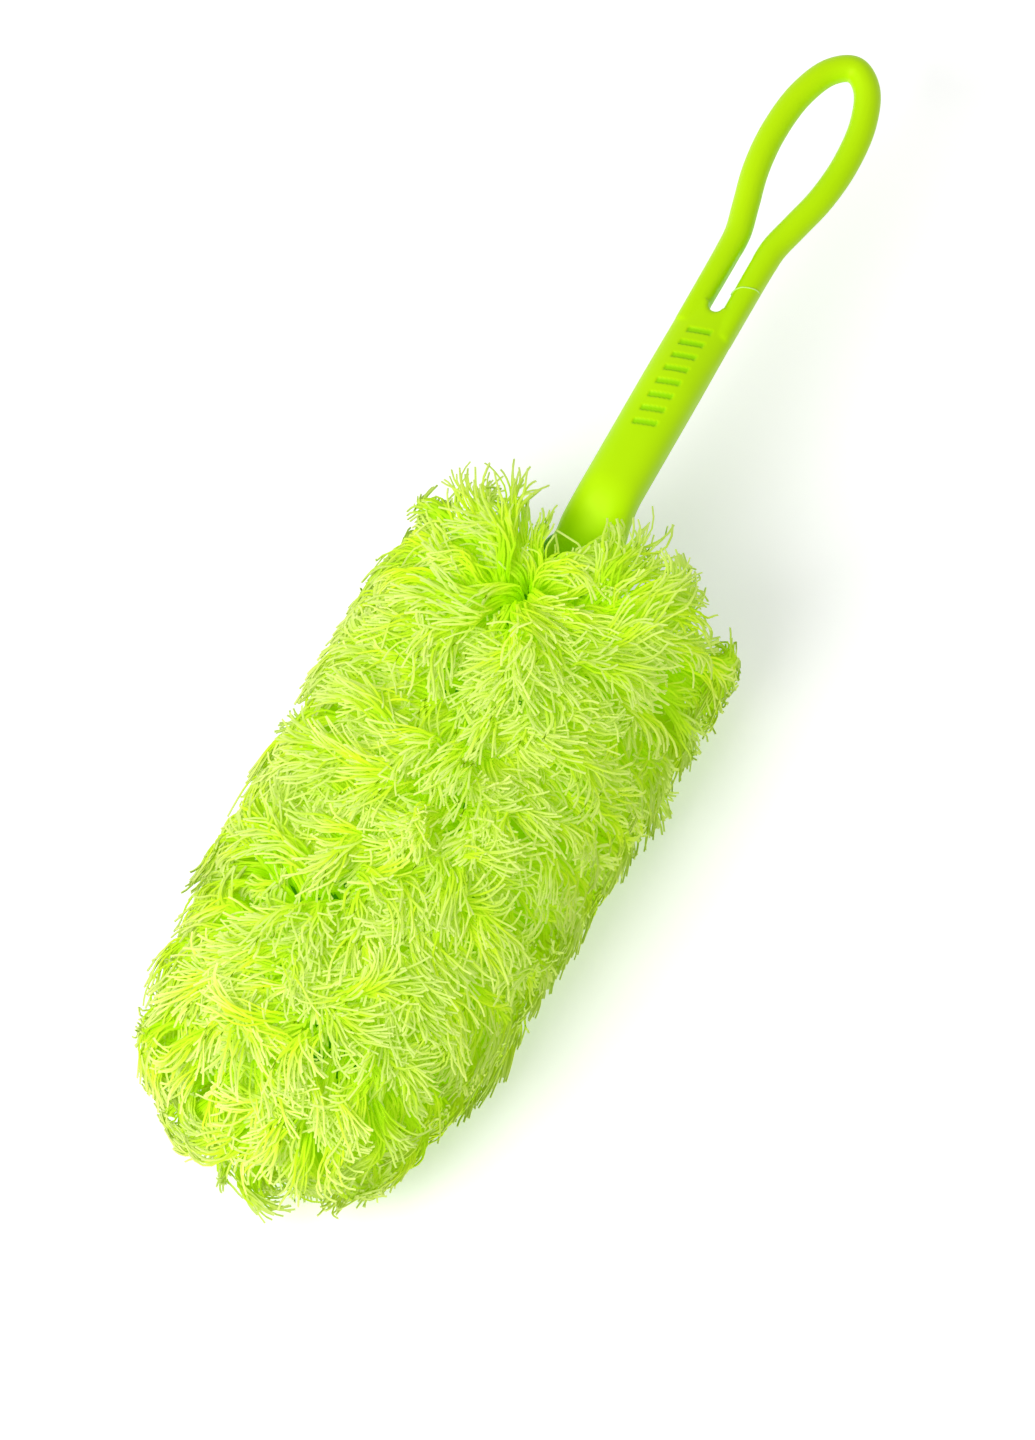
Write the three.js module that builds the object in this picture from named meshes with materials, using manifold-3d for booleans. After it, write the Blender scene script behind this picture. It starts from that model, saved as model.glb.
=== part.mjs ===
// A hand duster: a moulded handle with a hanging loop, a flat blade screwed under its cranked
// neck, and a removable padded sleeve of long microfibre strands that slides over the blade.
// Millimetres, +Z up. The handle points along +X and the sleeve's tip along -X.
// The origin is on the floor, under the middle of the object.
import * as THREE from "three";
import { mergeVertices } from "three/addons/utils/BufferGeometryUtils.js";
import Module from "manifold-3d";

const wasm = await Module();
wasm.setup();

// Fits shared by all pieces
const clearance = 0.3;
const cutOverrun = 4;
const floorZ = 0;

// Grip and hanging loop
const gripWidth = 20;
const gripThickness = 17;
const gripLength = 67.4;
const gripRoundShare = 0.8;
const forkThickness = 10.5;
const forkLength = 31.4;
const slotWidth = 4.4;
const slotLength = 23.6;
const slotChamfer = 1.2;
const legRootLength = 7;
const legRoundShare = 0.8;
const loopLength = 75;
const loopWidth = 25.8;
const loopRod = 8.8;
const rodRoundShare = 1;

// Cranked neck and the foot that lies on the blade
const neckAngleDeg = 45;
const neckBend = 20;
const neckThickness = 13;
const footLength = 27;
const footThickness = 7;
const footWidth = 25;
const footRoundShare = 0.625;
const footTipThickness = 3;

// Blade
const bladeHeight = 30;
const bladeThickness = 3;
const bladeBevel = 0.6;
const bladeRimThickness = 5;
const bladeRimWidth = 2.6;
const bladeWidth = 44;
const bladeRearWidth = 30;
const bladeRearCorner = 10;
const bladeTailLength = 27;
const bladeTailHiddenShare = 0.25;
const bladeShoulderLength = 22;
const bladeBodyLength = 160;
const bladeTipLength = 27;
const bladeWindowLength = 52;
const bladeWindowWidth = 7;
const bladeWindowGap = 4.2;
const bladeWindowRows = 2;
const bladeWindowColumns = 3;

// Screws that hold the blade under the foot
const screwCount = 2;
const screwMiddleShare = 0.5;
const screwSpacing = 11;
const screwShank = 3;
const screwHead = 5.6;
const screwHeadHeight = 1.8;
const screwGrip = 2.8;
const screwPoint = 1.2;

// Sleeve: lining, padding, backing and strands, from the inside out
const pocketSideRoom = 2;
const pocketRoom = 1.9;
const pocketFootRoom = 1.4;
const pocketTipRoom = 7;
const liningThickness = 1;
const padThickness = 5;
const padMouthThickness = 0.8;
const backingThickness = 1.7;
const sleeveSideFill = 9;
const sleeveTipLength = 42;
const gatherLength = 30;
const pocketRoundShare = 0.4;
const sleeveRoundShare = 0.74;
const pocketTipRoundShare = 0.667;
const sleeveTipRoundShare = 0.909;
const seamHeightGap = 0.3;
const padInset = 6;

// Gathered mouth
const bindingLength = 7;
const bindingThickness = 2.6;
const elasticDepth = 4.4;
const elasticThickness = 1;

// Matted sole that the sleeve lies on
const soleWidth = 47;
const soleRoundShare = 0.4;
const soleEndRoundShare = 0.5;
const soleEndInset = 10;
const solePress = 0.5;
const soleMiddleShare = 0.7;
const soleStationShares = [-0.99, -0.95, -0.85, -0.6, 0, 0.6, 0.85, 0.95, 0.99];

// Strands
const strandSpacing = 7;
const strandWidth = 4;
const strandSides = 3;
const strandRootShare = 0.65;
const strandTop = 36;
const strandSide = 29;
const strandLow = 27;
const strandFloorGap = 1;
const strandMargin = 0.7;
const strandLeanShare = 0.3;
const strandDroopShare = 0.34;
const strandSwayShare = 0.08;
const strandWidthShares = [1, 0.85];
const strandHeightShares = [0, 0.52];
const strandAheadShare = 0.05;
const rowStartShare = 0.28;
const rowStaggerShare = 0.5;
const swayTurnShares = { row: 2.4, place: 1.7, cross: 1.3 };
const neckKeepOut = 17;

// Facets
const handleSides = 20;
const legSides = 12;
const legSteps = 62;
const bendSteps = 4;
const sleeveSides = 20;
const fineSides = 240;
const gatherSteps = 3;
const bodySteps = 3;
const tipSteps = 5;
const roundSegments = 12;
const facetTolerance = 0.02;
const weldTolerance = 1e-4;

const Y = new THREE.Vector3(0, 1, 0);
const Z = new THREE.Vector3(0, 0, 1);

// Places along the handle, from the slot's closed end at zero
const legWidth = (gripWidth - slotWidth) / 2;
const forkEnd = slotLength + slotWidth;
const loopTip = forkEnd + loopLength;
const neckStart = -gripLength;
const neckAngle = THREE.MathUtils.degToRad(neckAngleDeg);
const bladeTop = bladeHeight + bladeRimThickness / 2;
const footBottom = bladeTop + clearance;
const footHeight = footBottom + footThickness / 2;
const neckBendRun = neckBend * Math.sin(neckAngle);
const neckBendDrop = neckBend * (1 - Math.cos(neckAngle));
const neckSlope = 2 * clearance + bladeRimThickness / 2;
const gripHeight = footHeight + 2 * neckBendDrop + neckSlope * Math.tan(neckAngle);
const neckEnd = neckStart - 2 * neckBendRun - neckSlope;
const footEnd = neckEnd - footLength;

// Places along the blade and the sleeve
const mouthX = neckEnd - bladeTailLength * bladeTailHiddenShare;
const bladeRear = mouthX + bladeTailLength;
const bladeTipStart = mouthX - bladeBodyLength;
const bladeTip = bladeTipStart - bladeTipLength;
const pocketTip = bladeTip - pocketTipRoom;
const sleeveTip = pocketTip - liningThickness - padThickness / 2 - backingThickness;

function lerp(from, to, share) {
  return from + (to - from) * share;
}

function smooth(share) {
  const s = THREE.MathUtils.clamp(share, 0, 1);
  return s * s * (3 - 2 * s);
}

// A point of a superellipse with unit half axes: an ellipse at 1, squarer with a lower share.
function superellipse(angle, roundShare) {
  const c = Math.cos(angle);
  const s = Math.sin(angle);
  return [Math.sign(c) * Math.abs(c) ** roundShare, Math.sign(s) * Math.abs(s) ** roundShare];
}

// How far a superellipse with unit half axes still reaches sideways at a share of its length.
function reachAt(share, roundShare) {
  return (1 - share ** (2 / roundShare)) ** (roundShare / 2);
}

// A closed skin over rings of points that turn counterclockwise about the way they travel.
function loft(rings, startPoint, endPoint) {
  const sides = rings[0].length;
  const points = [...rings.flat(), startPoint, endPoint];
  const start = points.length - 2;
  const end = points.length - 1;
  const faces = [];
  for (let k = 0; k < sides; k++) {
    const next = (k + 1) % sides;
    faces.push(start, next, k);
    for (let i = 0; i + 1 < rings.length; i++) {
      const a = i * sides;
      const b = a + sides;
      faces.push(a + k, a + next, b + next, a + k, b + next, b + k);
    }
    const last = (rings.length - 1) * sides;
    faces.push(end, last + k, last + next);
  }
  const geometry = new THREE.BufferGeometry().setFromPoints(points);
  geometry.setIndex(faces);
  return geometry;
}

function middle(points) {
  return points.reduce((sum, p) => sum.add(p), new THREE.Vector3()).divideScalar(points.length);
}

function loftCapped(rings) {
  return loft(rings, middle(rings[0]), middle(rings[rings.length - 1]));
}

// Joining and cutting closed skins
function solidOf(geometry) {
  const bare = geometry.clone();
  bare.deleteAttribute("normal");
  bare.deleteAttribute("uv");
  const merged = mergeVertices(bare, weldTolerance);
  return new wasm.Manifold(
    new wasm.Mesh({
      numProp: 3,
      vertProperties: merged.attributes.position.array,
      triVerts: new Uint32Array(merged.index.array),
    }),
  );
}

function geometryOf(solid) {
  const mesh = solid.getMesh();
  const geometry = new THREE.BufferGeometry();
  geometry.setAttribute("position", new THREE.BufferAttribute(mesh.vertProperties, 3));
  geometry.setIndex(new THREE.BufferAttribute(mesh.triVerts, 1));
  const flat = geometry.toNonIndexed();
  flat.computeVertexNormals();
  return flat;
}

function boxBetween(low, high) {
  const size = new THREE.Vector3().subVectors(high, low);
  const box = new THREE.BoxGeometry(size.x, size.y, size.z);
  box.translate((low.x + high.x) / 2, (low.y + high.y) / 2, (low.z + high.z) / 2);
  return solidOf(box);
}

const group = new THREE.Group();

function addPiece(name, solid, color, roughness, metalness = 0) {
  const material = new THREE.MeshStandardMaterial({ color, roughness, metalness });
  const mesh = new THREE.Mesh(geometryOf(solid), material);
  mesh.name = name;
  group.add(mesh);
}

// Grip, neck and foot: stations along one bent centreline that travels towards the foot
function handleRing(station) {
  const up = new THREE.Vector3(-Math.sin(station.slope), 0, Math.cos(station.slope));
  const origin = new THREE.Vector3(station.x, 0, station.z);
  return Array.from({ length: handleSides }, (_, k) => {
    const [u, v] = superellipse((2 * Math.PI * k) / handleSides, station.roundShare);
    return origin
      .clone()
      .addScaledVector(Y, (-u * station.width) / 2)
      .addScaledVector(up, (v * station.thickness) / 2);
  });
}

function gripStations() {
  const thinningShares = [0, 0.25, 0.5, 0.75, 1];
  const crotch = slotWidth / 2;
  return thinningShares.map((share) => ({
    x: crotch - share * (crotch + forkLength),
    z: gripHeight,
    slope: 0,
    width: gripWidth - clearance * (1 - share),
    thickness: lerp(forkThickness - clearance, gripThickness, smooth(share)),
    roundShare: lerp(legRoundShare, gripRoundShare, share),
  }));
}

function neckStations() {
  const stations = [];
  for (let i = 0; i <= bendSteps; i++) {
    const turn = (neckAngle * i) / bendSteps;
    const share = i / (2 * bendSteps + 1);
    stations.push({
      x: neckStart - neckBend * Math.sin(turn),
      z: gripHeight - neckBend * (1 - Math.cos(turn)),
      slope: turn,
      width: lerp(gripWidth, footWidth, smooth(share)),
      thickness: lerp(gripThickness, neckThickness, smooth(2 * share)),
      roundShare: lerp(gripRoundShare, footRoundShare, share),
    });
  }
  for (let i = bendSteps; i >= 0; i--) {
    const turn = (neckAngle * i) / bendSteps;
    const share = (2 * bendSteps + 1 - i) / (2 * bendSteps + 1);
    stations.push({
      x: neckEnd + neckBend * Math.sin(turn),
      z: footHeight + neckBend * (1 - Math.cos(turn)),
      slope: turn,
      width: lerp(gripWidth, footWidth, smooth(share)),
      thickness: lerp(neckThickness, footThickness, smooth(2 * share - 1)),
      roundShare: lerp(gripRoundShare, footRoundShare, share),
    });
  }
  return stations;
}

function footStations() {
  const taperShares = [
    [0.55, 1],
    [0.86, 0.94],
    [0.97, 0.78],
    [1, 0.55],
  ];
  return taperShares.map(([along, wide]) => {
    const thickness = lerp(footThickness, footTipThickness, along);
    return {
      x: neckEnd - footLength * along,
      z: footBottom + thickness / 2,
      slope: 0,
      width: footWidth * wide,
      thickness,
      roundShare: footRoundShare,
    };
  });
}

// Centreline of the two legs and the loop, seen from above, from the left leg to the right one
function loopCurve() {
  const legOffset = (slotWidth + legWidth) / 2;
  const loopOffset = loopWidth / 2;
  const loopShares = [
    [0.03, 0.5],
    [0.17, 0.68],
    [0.35, 0.91],
    [0.56, 1],
    [0.78, 0.87],
    [0.94, 0.5],
  ];
  const side = [
    new THREE.Vector3(-legRootLength, legOffset, gripHeight),
    new THREE.Vector3(legRootLength, legOffset, gripHeight),
    new THREE.Vector3(slotLength, legOffset, gripHeight),
    ...loopShares.map(
      ([along, out]) =>
        new THREE.Vector3(
          forkEnd + along * (loopLength - loopRod / 2),
          out * loopOffset,
          gripHeight,
        ),
    ),
  ];
  const mirrored = side.map((p) => new THREE.Vector3(p.x, -p.y, p.z)).reverse();
  const tip = new THREE.Vector3(loopTip - loopRod / 2, 0, gripHeight);
  return new THREE.CatmullRomCurve3([...side, tip, ...mirrored], false, "centripetal");
}

// The leg is as deep as the fork at its root and turns into a round rod in the loop.
function loopRing(curve, share) {
  const point = curve.getPointAt(share);
  const tangent = curve.getTangentAt(share);
  const side = new THREE.Vector3().crossVectors(Z, tangent);
  const round = smooth(point.x / (forkEnd + loopRod));
  const width = lerp(legWidth, loopRod, round);
  const thickness = lerp(forkThickness, loopRod, round);
  const roundShare = lerp(legRoundShare, rodRoundShare, round);
  return Array.from({ length: legSides }, (_, k) => {
    const [u, v] = superellipse((2 * Math.PI * k) / legSides, roundShare);
    return point
      .clone()
      .addScaledVector(side, (u * width) / 2)
      .addScaledVector(Z, (v * thickness) / 2);
  });
}

function screwPlaces() {
  const first = neckEnd - footLength * screwMiddleShare + ((screwCount - 1) * screwSpacing) / 2;
  return Array.from({ length: screwCount }, (_, i) => first - i * screwSpacing);
}

// An upright round bar between two heights, for pilot holes and counterbores
function uprightBar(x, radius, low, high) {
  const bar = new THREE.CylinderGeometry(radius, radius, high - low, roundSegments);
  bar.rotateX(Math.PI / 2);
  bar.translate(x, 0, (low + high) / 2);
  return solidOf(bar);
}

// The slot's outline at one height, grown by its chamfer above and below the fork
function slotRing(height, grown) {
  const radius = slotWidth / 2;
  const outline = new THREE.Shape();
  outline.absarc(radius, 0, radius + grown, Math.PI / 2, (3 * Math.PI) / 2);
  outline.lineTo(slotLength, -radius - grown);
  outline.lineTo(slotLength, radius + grown);
  const points = outline.getPoints(roundSegments / 2);
  return points.map((p) => new THREE.Vector3(p.x, p.y, gripHeight + height));
}

function slotCutter() {
  const face = forkThickness / 2;
  const rings = [
    slotRing(-face - cutOverrun, slotChamfer + cutOverrun),
    slotRing(slotChamfer - face, 0),
    slotRing(face - slotChamfer, 0),
    slotRing(face + cutOverrun, slotChamfer + cutOverrun),
  ];
  return solidOf(loftCapped(rings));
}

function buildHandle() {
  const curve = loopCurve();
  const loopRings = Array.from({ length: legSteps + 1 }, (_, i) => loopRing(curve, i / legSteps));
  const bodyRings = [...gripStations(), ...neckStations(), ...footStations()].map(handleRing);
  const underFoot = boxBetween(
    new THREE.Vector3(footEnd - cutOverrun, -gripWidth, bladeHeight - bladeRimThickness),
    new THREE.Vector3(neckStart, gripWidth, footBottom),
  );
  let handle = solidOf(loftCapped(bodyRings)).add(solidOf(loftCapped(loopRings)));
  handle = handle.subtract(slotCutter()).subtract(underFoot);
  for (const x of screwPlaces()) {
    const depth = screwGrip + 2 * clearance;
    const pilot = uprightBar(x, screwShank / 2 + clearance, bladeTop, footBottom + depth);
    handle = handle.subtract(pilot);
  }
  return handle;
}

// Plan outline of the blade: a rounded tail, shoulders, a straight body and an oval tip
function bladeOutline(inset) {
  const rear = bladeRear - inset;
  const tail = bladeRearWidth / 2 - inset;
  const corner = bladeRearCorner - inset;
  const half = bladeWidth / 2 - inset;
  const shoulder = mouthX - bladeShoulderLength;
  const bend = bladeShoulderLength / 2;
  const outline = new THREE.Shape();
  outline.moveTo(mouthX, -tail);
  outline.lineTo(rear - corner, -tail);
  outline.absarc(rear - corner, corner - tail, corner, -Math.PI / 2, 0);
  outline.absarc(rear - corner, tail - corner, corner, 0, Math.PI / 2);
  outline.lineTo(mouthX, tail);
  outline.bezierCurveTo(mouthX - bend, tail, shoulder + bend, half, shoulder, half);
  outline.lineTo(bladeTipStart, half);
  outline.absellipse(
    bladeTipStart,
    0,
    bladeTipLength - inset,
    half,
    Math.PI / 2,
    (3 * Math.PI) / 2,
  );
  outline.lineTo(shoulder, -half);
  outline.bezierCurveTo(shoulder + bend, -half, mouthX - bend, -tail, mouthX, -tail);
  return outline;
}

function windowOutline(x, y) {
  const radius = bladeWindowWidth / 2;
  const reach = bladeWindowLength / 2 - radius;
  const outline = new THREE.Path();
  outline.absarc(x + reach, y, radius, -Math.PI / 2, Math.PI / 2);
  outline.absarc(x - reach, y, radius, Math.PI / 2, (3 * Math.PI) / 2);
  outline.closePath();
  return outline;
}

function bladeWindows() {
  const pitchX = bladeWindowLength + 2 * bladeWindowGap;
  const pitchY = bladeWindowWidth + bladeWindowGap;
  const middleX = mouthX - bladeShoulderLength - (bladeBodyLength - bladeShoulderLength) / 2;
  const windows = [];
  for (let i = 0; i < bladeWindowRows; i++) {
    for (let j = 0; j < bladeWindowColumns; j++) {
      const x = middleX + (i - (bladeWindowRows - 1) / 2) * pitchX;
      const y = (j - (bladeWindowColumns - 1) / 2) * pitchY;
      windows.push(windowOutline(x, y));
    }
  }
  return windows;
}

function extrudedPlate(outline, thickness, bevel) {
  const plate = new THREE.ExtrudeGeometry(outline, {
    depth: thickness - 2 * bevel,
    bevelThickness: bevel,
    bevelSize: bevel,
    bevelOffset: -bevel,
    bevelSegments: 1,
    curveSegments: roundSegments / 2,
  });
  plate.translate(0, 0, bladeHeight - thickness / 2 + bevel);
  return solidOf(plate);
}

// The web is thin and has windows, the rim is thicker, and a pad carries the foot.
function buildBlade() {
  const web = bladeOutline(bladeRimWidth / 2);
  web.holes.push(...bladeWindows());
  const rim = bladeOutline(0);
  rim.holes.push(new THREE.Path(bladeOutline(bladeRimWidth).getPoints(roundSegments / 2)));
  const pad = boxBetween(
    new THREE.Vector3(footEnd, -footWidth / 2, bladeHeight - bladeRimThickness / 2),
    new THREE.Vector3(neckEnd, footWidth / 2, bladeTop),
  );
  let blade = extrudedPlate(web, bladeThickness, 0);
  blade = blade.add(extrudedPlate(rim, bladeRimThickness, bladeBevel)).add(pad);
  const bottom = bladeHeight - bladeRimThickness / 2;
  for (const x of screwPlaces()) {
    const hole = uprightBar(x, screwShank / 2 + clearance, bottom - cutOverrun, bladeTop + cutOverrun);
    const bore = uprightBar(
      x,
      screwHead / 2 + clearance,
      bottom - cutOverrun,
      bottom + screwHeadHeight + clearance,
    );
    blade = blade.subtract(hole).subtract(bore);
  }
  return blade;
}

function buildScrew(x) {
  const bottom = bladeHeight - bladeRimThickness / 2;
  const top = footBottom + screwGrip;
  const profile = [
    new THREE.Vector2(0, bottom),
    new THREE.Vector2(screwHead / 2, bottom),
    new THREE.Vector2(screwHead / 2, bottom + screwHeadHeight),
    new THREE.Vector2(screwShank / 2, bottom + screwHeadHeight),
    new THREE.Vector2(screwShank / 2, top - screwPoint),
    new THREE.Vector2(0, top),
  ];
  const screw = new THREE.LatheGeometry(profile, roundSegments);
  screw.rotateX(Math.PI / 2);
  screw.translate(x, 0, 0);
  return solidOf(screw);
}

// Sections of the sleeve's layers. Each layer lies a set distance outside the pocket at the
// mouth and takes the sleeve's own fuller section behind the gathered part.
const pocketMouth = {
  side: bladeWidth / 2 + pocketSideRoom,
  top: footThickness + clearance + bladeRimThickness / 2 + pocketFootRoom,
  bottom: bladeRimThickness / 2 + pocketRoom,
};
const pocketBody = {
  side: pocketMouth.side,
  top: bladeRimThickness / 2 + pocketRoom,
  bottom: bladeRimThickness / 2 + pocketRoom,
};
const padBody = {
  side: pocketMouth.side + sleeveSideFill - backingThickness,
  top: pocketBody.top + liningThickness + 2 * clearance + padThickness,
  bottom: pocketBody.bottom + liningThickness + 2 * clearance + padThickness,
};

function sectionBetween(mouth, body, share, mouthOut, bodyOut) {
  return {
    side: lerp(mouth.side + mouthOut, body.side + bodyOut, share),
    top: lerp(mouth.top + mouthOut, body.top + bodyOut, share),
    bottom: lerp(mouth.bottom + mouthOut, body.bottom + bodyOut, share),
  };
}

const pocketShape = {
  body: pocketBody,
  roundShare: pocketRoundShare,
  tipRoundShare: pocketTipRoundShare,
};
const sleeveShape = {
  body: padBody,
  roundShare: sleeveRoundShare,
  tipRoundShare: sleeveTipRoundShare,
};

// Layers by name: how far out of the mouth pocket, and out of the body section, each one is
const padOut = liningThickness + clearance;
const padOuterOut = padOut + padMouthThickness;
const backingIn = padOuterOut + clearance;
const layers = {
  pocket: { ...pocketShape, mouthOut: 0, bodyOut: 0, tip: pocketTip },
  lining: {
    ...pocketShape,
    mouthOut: liningThickness,
    bodyOut: liningThickness,
    tip: pocketTip - liningThickness,
  },
  padInner: { ...pocketShape, mouthOut: padOut, bodyOut: padOut, tip: pocketTip - padOut },
  padOuter: {
    ...sleeveShape,
    mouthOut: padOuterOut,
    bodyOut: -clearance,
    tip: sleeveTip + backingThickness + clearance,
  },
  backingInner: {
    ...sleeveShape,
    mouthOut: backingIn,
    bodyOut: 0,
    tip: sleeveTip + backingThickness,
  },
  backingOuter: {
    ...sleeveShape,
    mouthOut: backingIn + backingThickness,
    bodyOut: backingThickness,
    tip: sleeveTip,
  },
  strandRoot: {
    ...sleeveShape,
    mouthOut: backingIn + backingThickness * strandRootShare,
    bodyOut: backingThickness * strandRootShare,
    tip: sleeveTip + backingThickness * (1 - strandRootShare),
  },
};

const sleeveTipStart = sleeveTip + sleeveTipLength;

// The section at x, shrunk towards the tip along a rounded end
function layerSection(layer, x) {
  const gather = smooth((mouthX - x) / gatherLength);
  const section = sectionBetween(pocketMouth, layer.body, gather, layer.mouthOut, layer.bodyOut);
  const run = (sleeveTipStart - x) / (sleeveTipStart - layer.tip);
  const shrink = reachAt(THREE.MathUtils.clamp(run, 0, 1), layer.tipRoundShare);
  return {
    side: section.side * shrink,
    top: section.top * shrink,
    bottom: section.bottom * shrink,
    roundShare: lerp(pocketRoundShare, layer.roundShare, gather),
  };
}

function sectionPoint(section, x, angle) {
  const centre = (section.top - section.bottom) / 2;
  const half = (section.top + section.bottom) / 2;
  const [u, v] = superellipse(angle, section.roundShare);
  return new THREE.Vector3(x, -u * section.side, bladeHeight + centre + v * half);
}

// Points spread evenly along a closed line of many points
function spreadEvenly(line, count, offset = 0) {
  const lengths = [0];
  for (let k = 1; k < line.length; k++) {
    lengths.push(lengths[k - 1] + line[k].distanceTo(line[k - 1]));
  }
  const round = lengths[lengths.length - 1];
  return Array.from({ length: count }, (_, i) => {
    const goal = (((i + offset) % count) / count) * round;
    const k = Math.max(
      1,
      lengths.findIndex((length) => length > goal),
    );
    const part = (goal - lengths[k - 1]) / (lengths[k] - lengths[k - 1]);
    return { at: k - 1 + part, point: line[k - 1].clone().lerp(line[k], part) };
  });
}

function layerRing(layer, x) {
  const section = layerSection(layer, x);
  const line = Array.from({ length: fineSides + 1 }, (_, k) =>
    sectionPoint(section, x, (2 * Math.PI * k) / fineSides),
  );
  return spreadEvenly(line, sleeveSides).map(({ point }) => point);
}

function layerStations(layer, startX) {
  const stations = [startX];
  for (let i = 1; i <= gatherSteps; i++) {
    stations.push(mouthX - (gatherLength * i) / gatherSteps);
  }
  for (let i = 1; i <= bodySteps; i++) {
    stations.push(lerp(mouthX - gatherLength, sleeveTipStart, i / bodySteps));
  }
  for (let i = 1; i < tipSteps; i++) {
    const share = Math.sin(((Math.PI / 2) * i) / tipSteps);
    stations.push(lerp(sleeveTipStart, layer.tip, share));
  }
  return stations;
}

function layerRings(layer, startX) {
  return layerStations(layer, startX).map((x) => layerRing(layer, x));
}

function layerSkin(layer, startX) {
  const rings = layerRings(layer, startX);
  return loft(rings, middle(rings[0]), new THREE.Vector3(layer.tip, 0, bladeHeight));
}

function layerSolid(layer, startX) {
  return solidOf(layerSkin(layer, startX));
}

const sleeveReach = 2 * (pocketMouth.side + sleeveSideFill);

function halfSpaceBox(lowY, highY, lowZ, highZ) {
  return boxBetween(
    new THREE.Vector3(sleeveTip - cutOverrun, lowY, lowZ),
    new THREE.Vector3(mouthX + cutOverrun, highY, highZ),
  );
}

const upperHalf = halfSpaceBox(
  -sleeveReach,
  sleeveReach,
  bladeHeight + seamHeightGap / 2,
  bladeHeight + sleeveReach,
);
const lowerHalf = halfSpaceBox(
  -sleeveReach,
  sleeveReach,
  bladeHeight - sleeveReach,
  bladeHeight - seamHeightGap / 2,
);

function buildLining() {
  return layerSolid(layers.lining, mouthX).subtract(layerSolid(layers.pocket, mouthX + cutOverrun));
}

function buildPad(half) {
  const rear = mouthX - padInset;
  const shell = layerSolid(layers.padOuter, mouthX).subtract(
    layerSolid(layers.padInner, mouthX + cutOverrun),
  );
  const room = boxBetween(
    new THREE.Vector3(sleeveTip - cutOverrun, -sleeveReach, bladeHeight - sleeveReach),
    new THREE.Vector3(rear, sleeveReach, bladeHeight + sleeveReach),
  );
  return shell.intersect(room).intersect(half);
}

// The backing in four slices: upper, lower and two side strips. Their seams run over the
// pocket's side edges.
const seamY = pocketMouth.side;
const slices = {
  pile_left: halfSpaceBox(
    seamY + clearance / 2,
    sleeveReach,
    bladeHeight - sleeveReach,
    bladeHeight + sleeveReach,
  ),
  pile_right: halfSpaceBox(
    -sleeveReach,
    -seamY - clearance / 2,
    bladeHeight - sleeveReach,
    bladeHeight + sleeveReach,
  ),
  pile_top: halfSpaceBox(
    clearance / 2 - seamY,
    seamY - clearance / 2,
    bladeHeight + seamHeightGap / 2,
    bladeHeight + sleeveReach,
  ),
  pile_bottom: halfSpaceBox(
    clearance / 2 - seamY,
    seamY - clearance / 2,
    bladeHeight - sleeveReach,
    bladeHeight - seamHeightGap / 2,
  ),
};

function sliceAt(point) {
  if (point.y > seamY) return "pile_left";
  if (point.y < -seamY) return "pile_right";
  return point.z > bladeHeight ? "pile_top" : "pile_bottom";
}

// How far a root lies from the nearest edge of its slice
function edgeDistance(point) {
  const toSeam = Math.abs(Math.abs(point.y) - seamY);
  const toMiddle = Math.abs(point.y) > seamY ? sleeveReach : Math.abs(point.z - bladeHeight);
  return Math.min(toSeam, toMiddle, mouthX - point.x);
}

// Matted strands under the head, pressed flat by its weight
const soleRear = mouthX - soleEndInset;
const soleTip = sleeveTip + soleEndInset;

function soleRing(x, share) {
  const shrink = reachAt(share, soleEndRoundShare);
  const top = layerSection(layers.strandRoot, x).bottom;
  const centre = bladeHeight - top * soleMiddleShare;
  const depth = centre - floorZ + solePress;
  return Array.from({ length: sleeveSides }, (_, k) => {
    const [u, v] = superellipse((2 * Math.PI * k) / sleeveSides, soleRoundShare);
    const halfHeight = v > 0 ? top * (1 - soleMiddleShare) : depth;
    return new THREE.Vector3(x, (-u * shrink * soleWidth) / 2, centre + v * halfHeight);
  });
}

function buildSole() {
  const rings = soleStationShares.map((share) =>
    soleRing(lerp(soleRear, soleTip, (share + 1) / 2), Math.abs(share)),
  );
  const aboveFloor = boxBetween(
    new THREE.Vector3(soleTip, -soleWidth, floorZ),
    new THREE.Vector3(soleRear, soleWidth, bladeHeight),
  );
  return solidOf(loftCapped(rings))
    .intersect(aboveFloor)
    .subtract(layerSolid(layers.strandRoot, mouthX + cutOverrun))
    .intersect(slices.pile_bottom);
}

// The facets that the strands are rooted in, with a smooth outward direction at each corner
const rootRings = layerRings(layers.strandRoot, mouthX);
const rootSkin = layerSkin(layers.strandRoot, mouthX);
rootSkin.computeVertexNormals();
const rootNormals = rootRings.map((ring, i) =>
  ring.map((_, k) =>
    new THREE.Vector3().fromBufferAttribute(rootSkin.attributes.normal, i * sleeveSides + k),
  ),
);

// A value between the corners of the facets, at a part of a station and a part of a side
function between(rows, station, side) {
  const i = Math.min(Math.floor(station), rows.length - 2);
  const k = Math.floor(side) % sleeveSides;
  const next = (k + 1) % sleeveSides;
  const part = side - Math.floor(side);
  const near = rows[i][k].clone().lerp(rows[i][next], part);
  const far = rows[i + 1][k].clone().lerp(rows[i + 1][next], part);
  return near.lerp(far, station - i);
}

function strandLength(normal) {
  return lerp(strandSide, normal.z > 0 ? strandTop : strandLow, Math.abs(normal.z));
}

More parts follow.
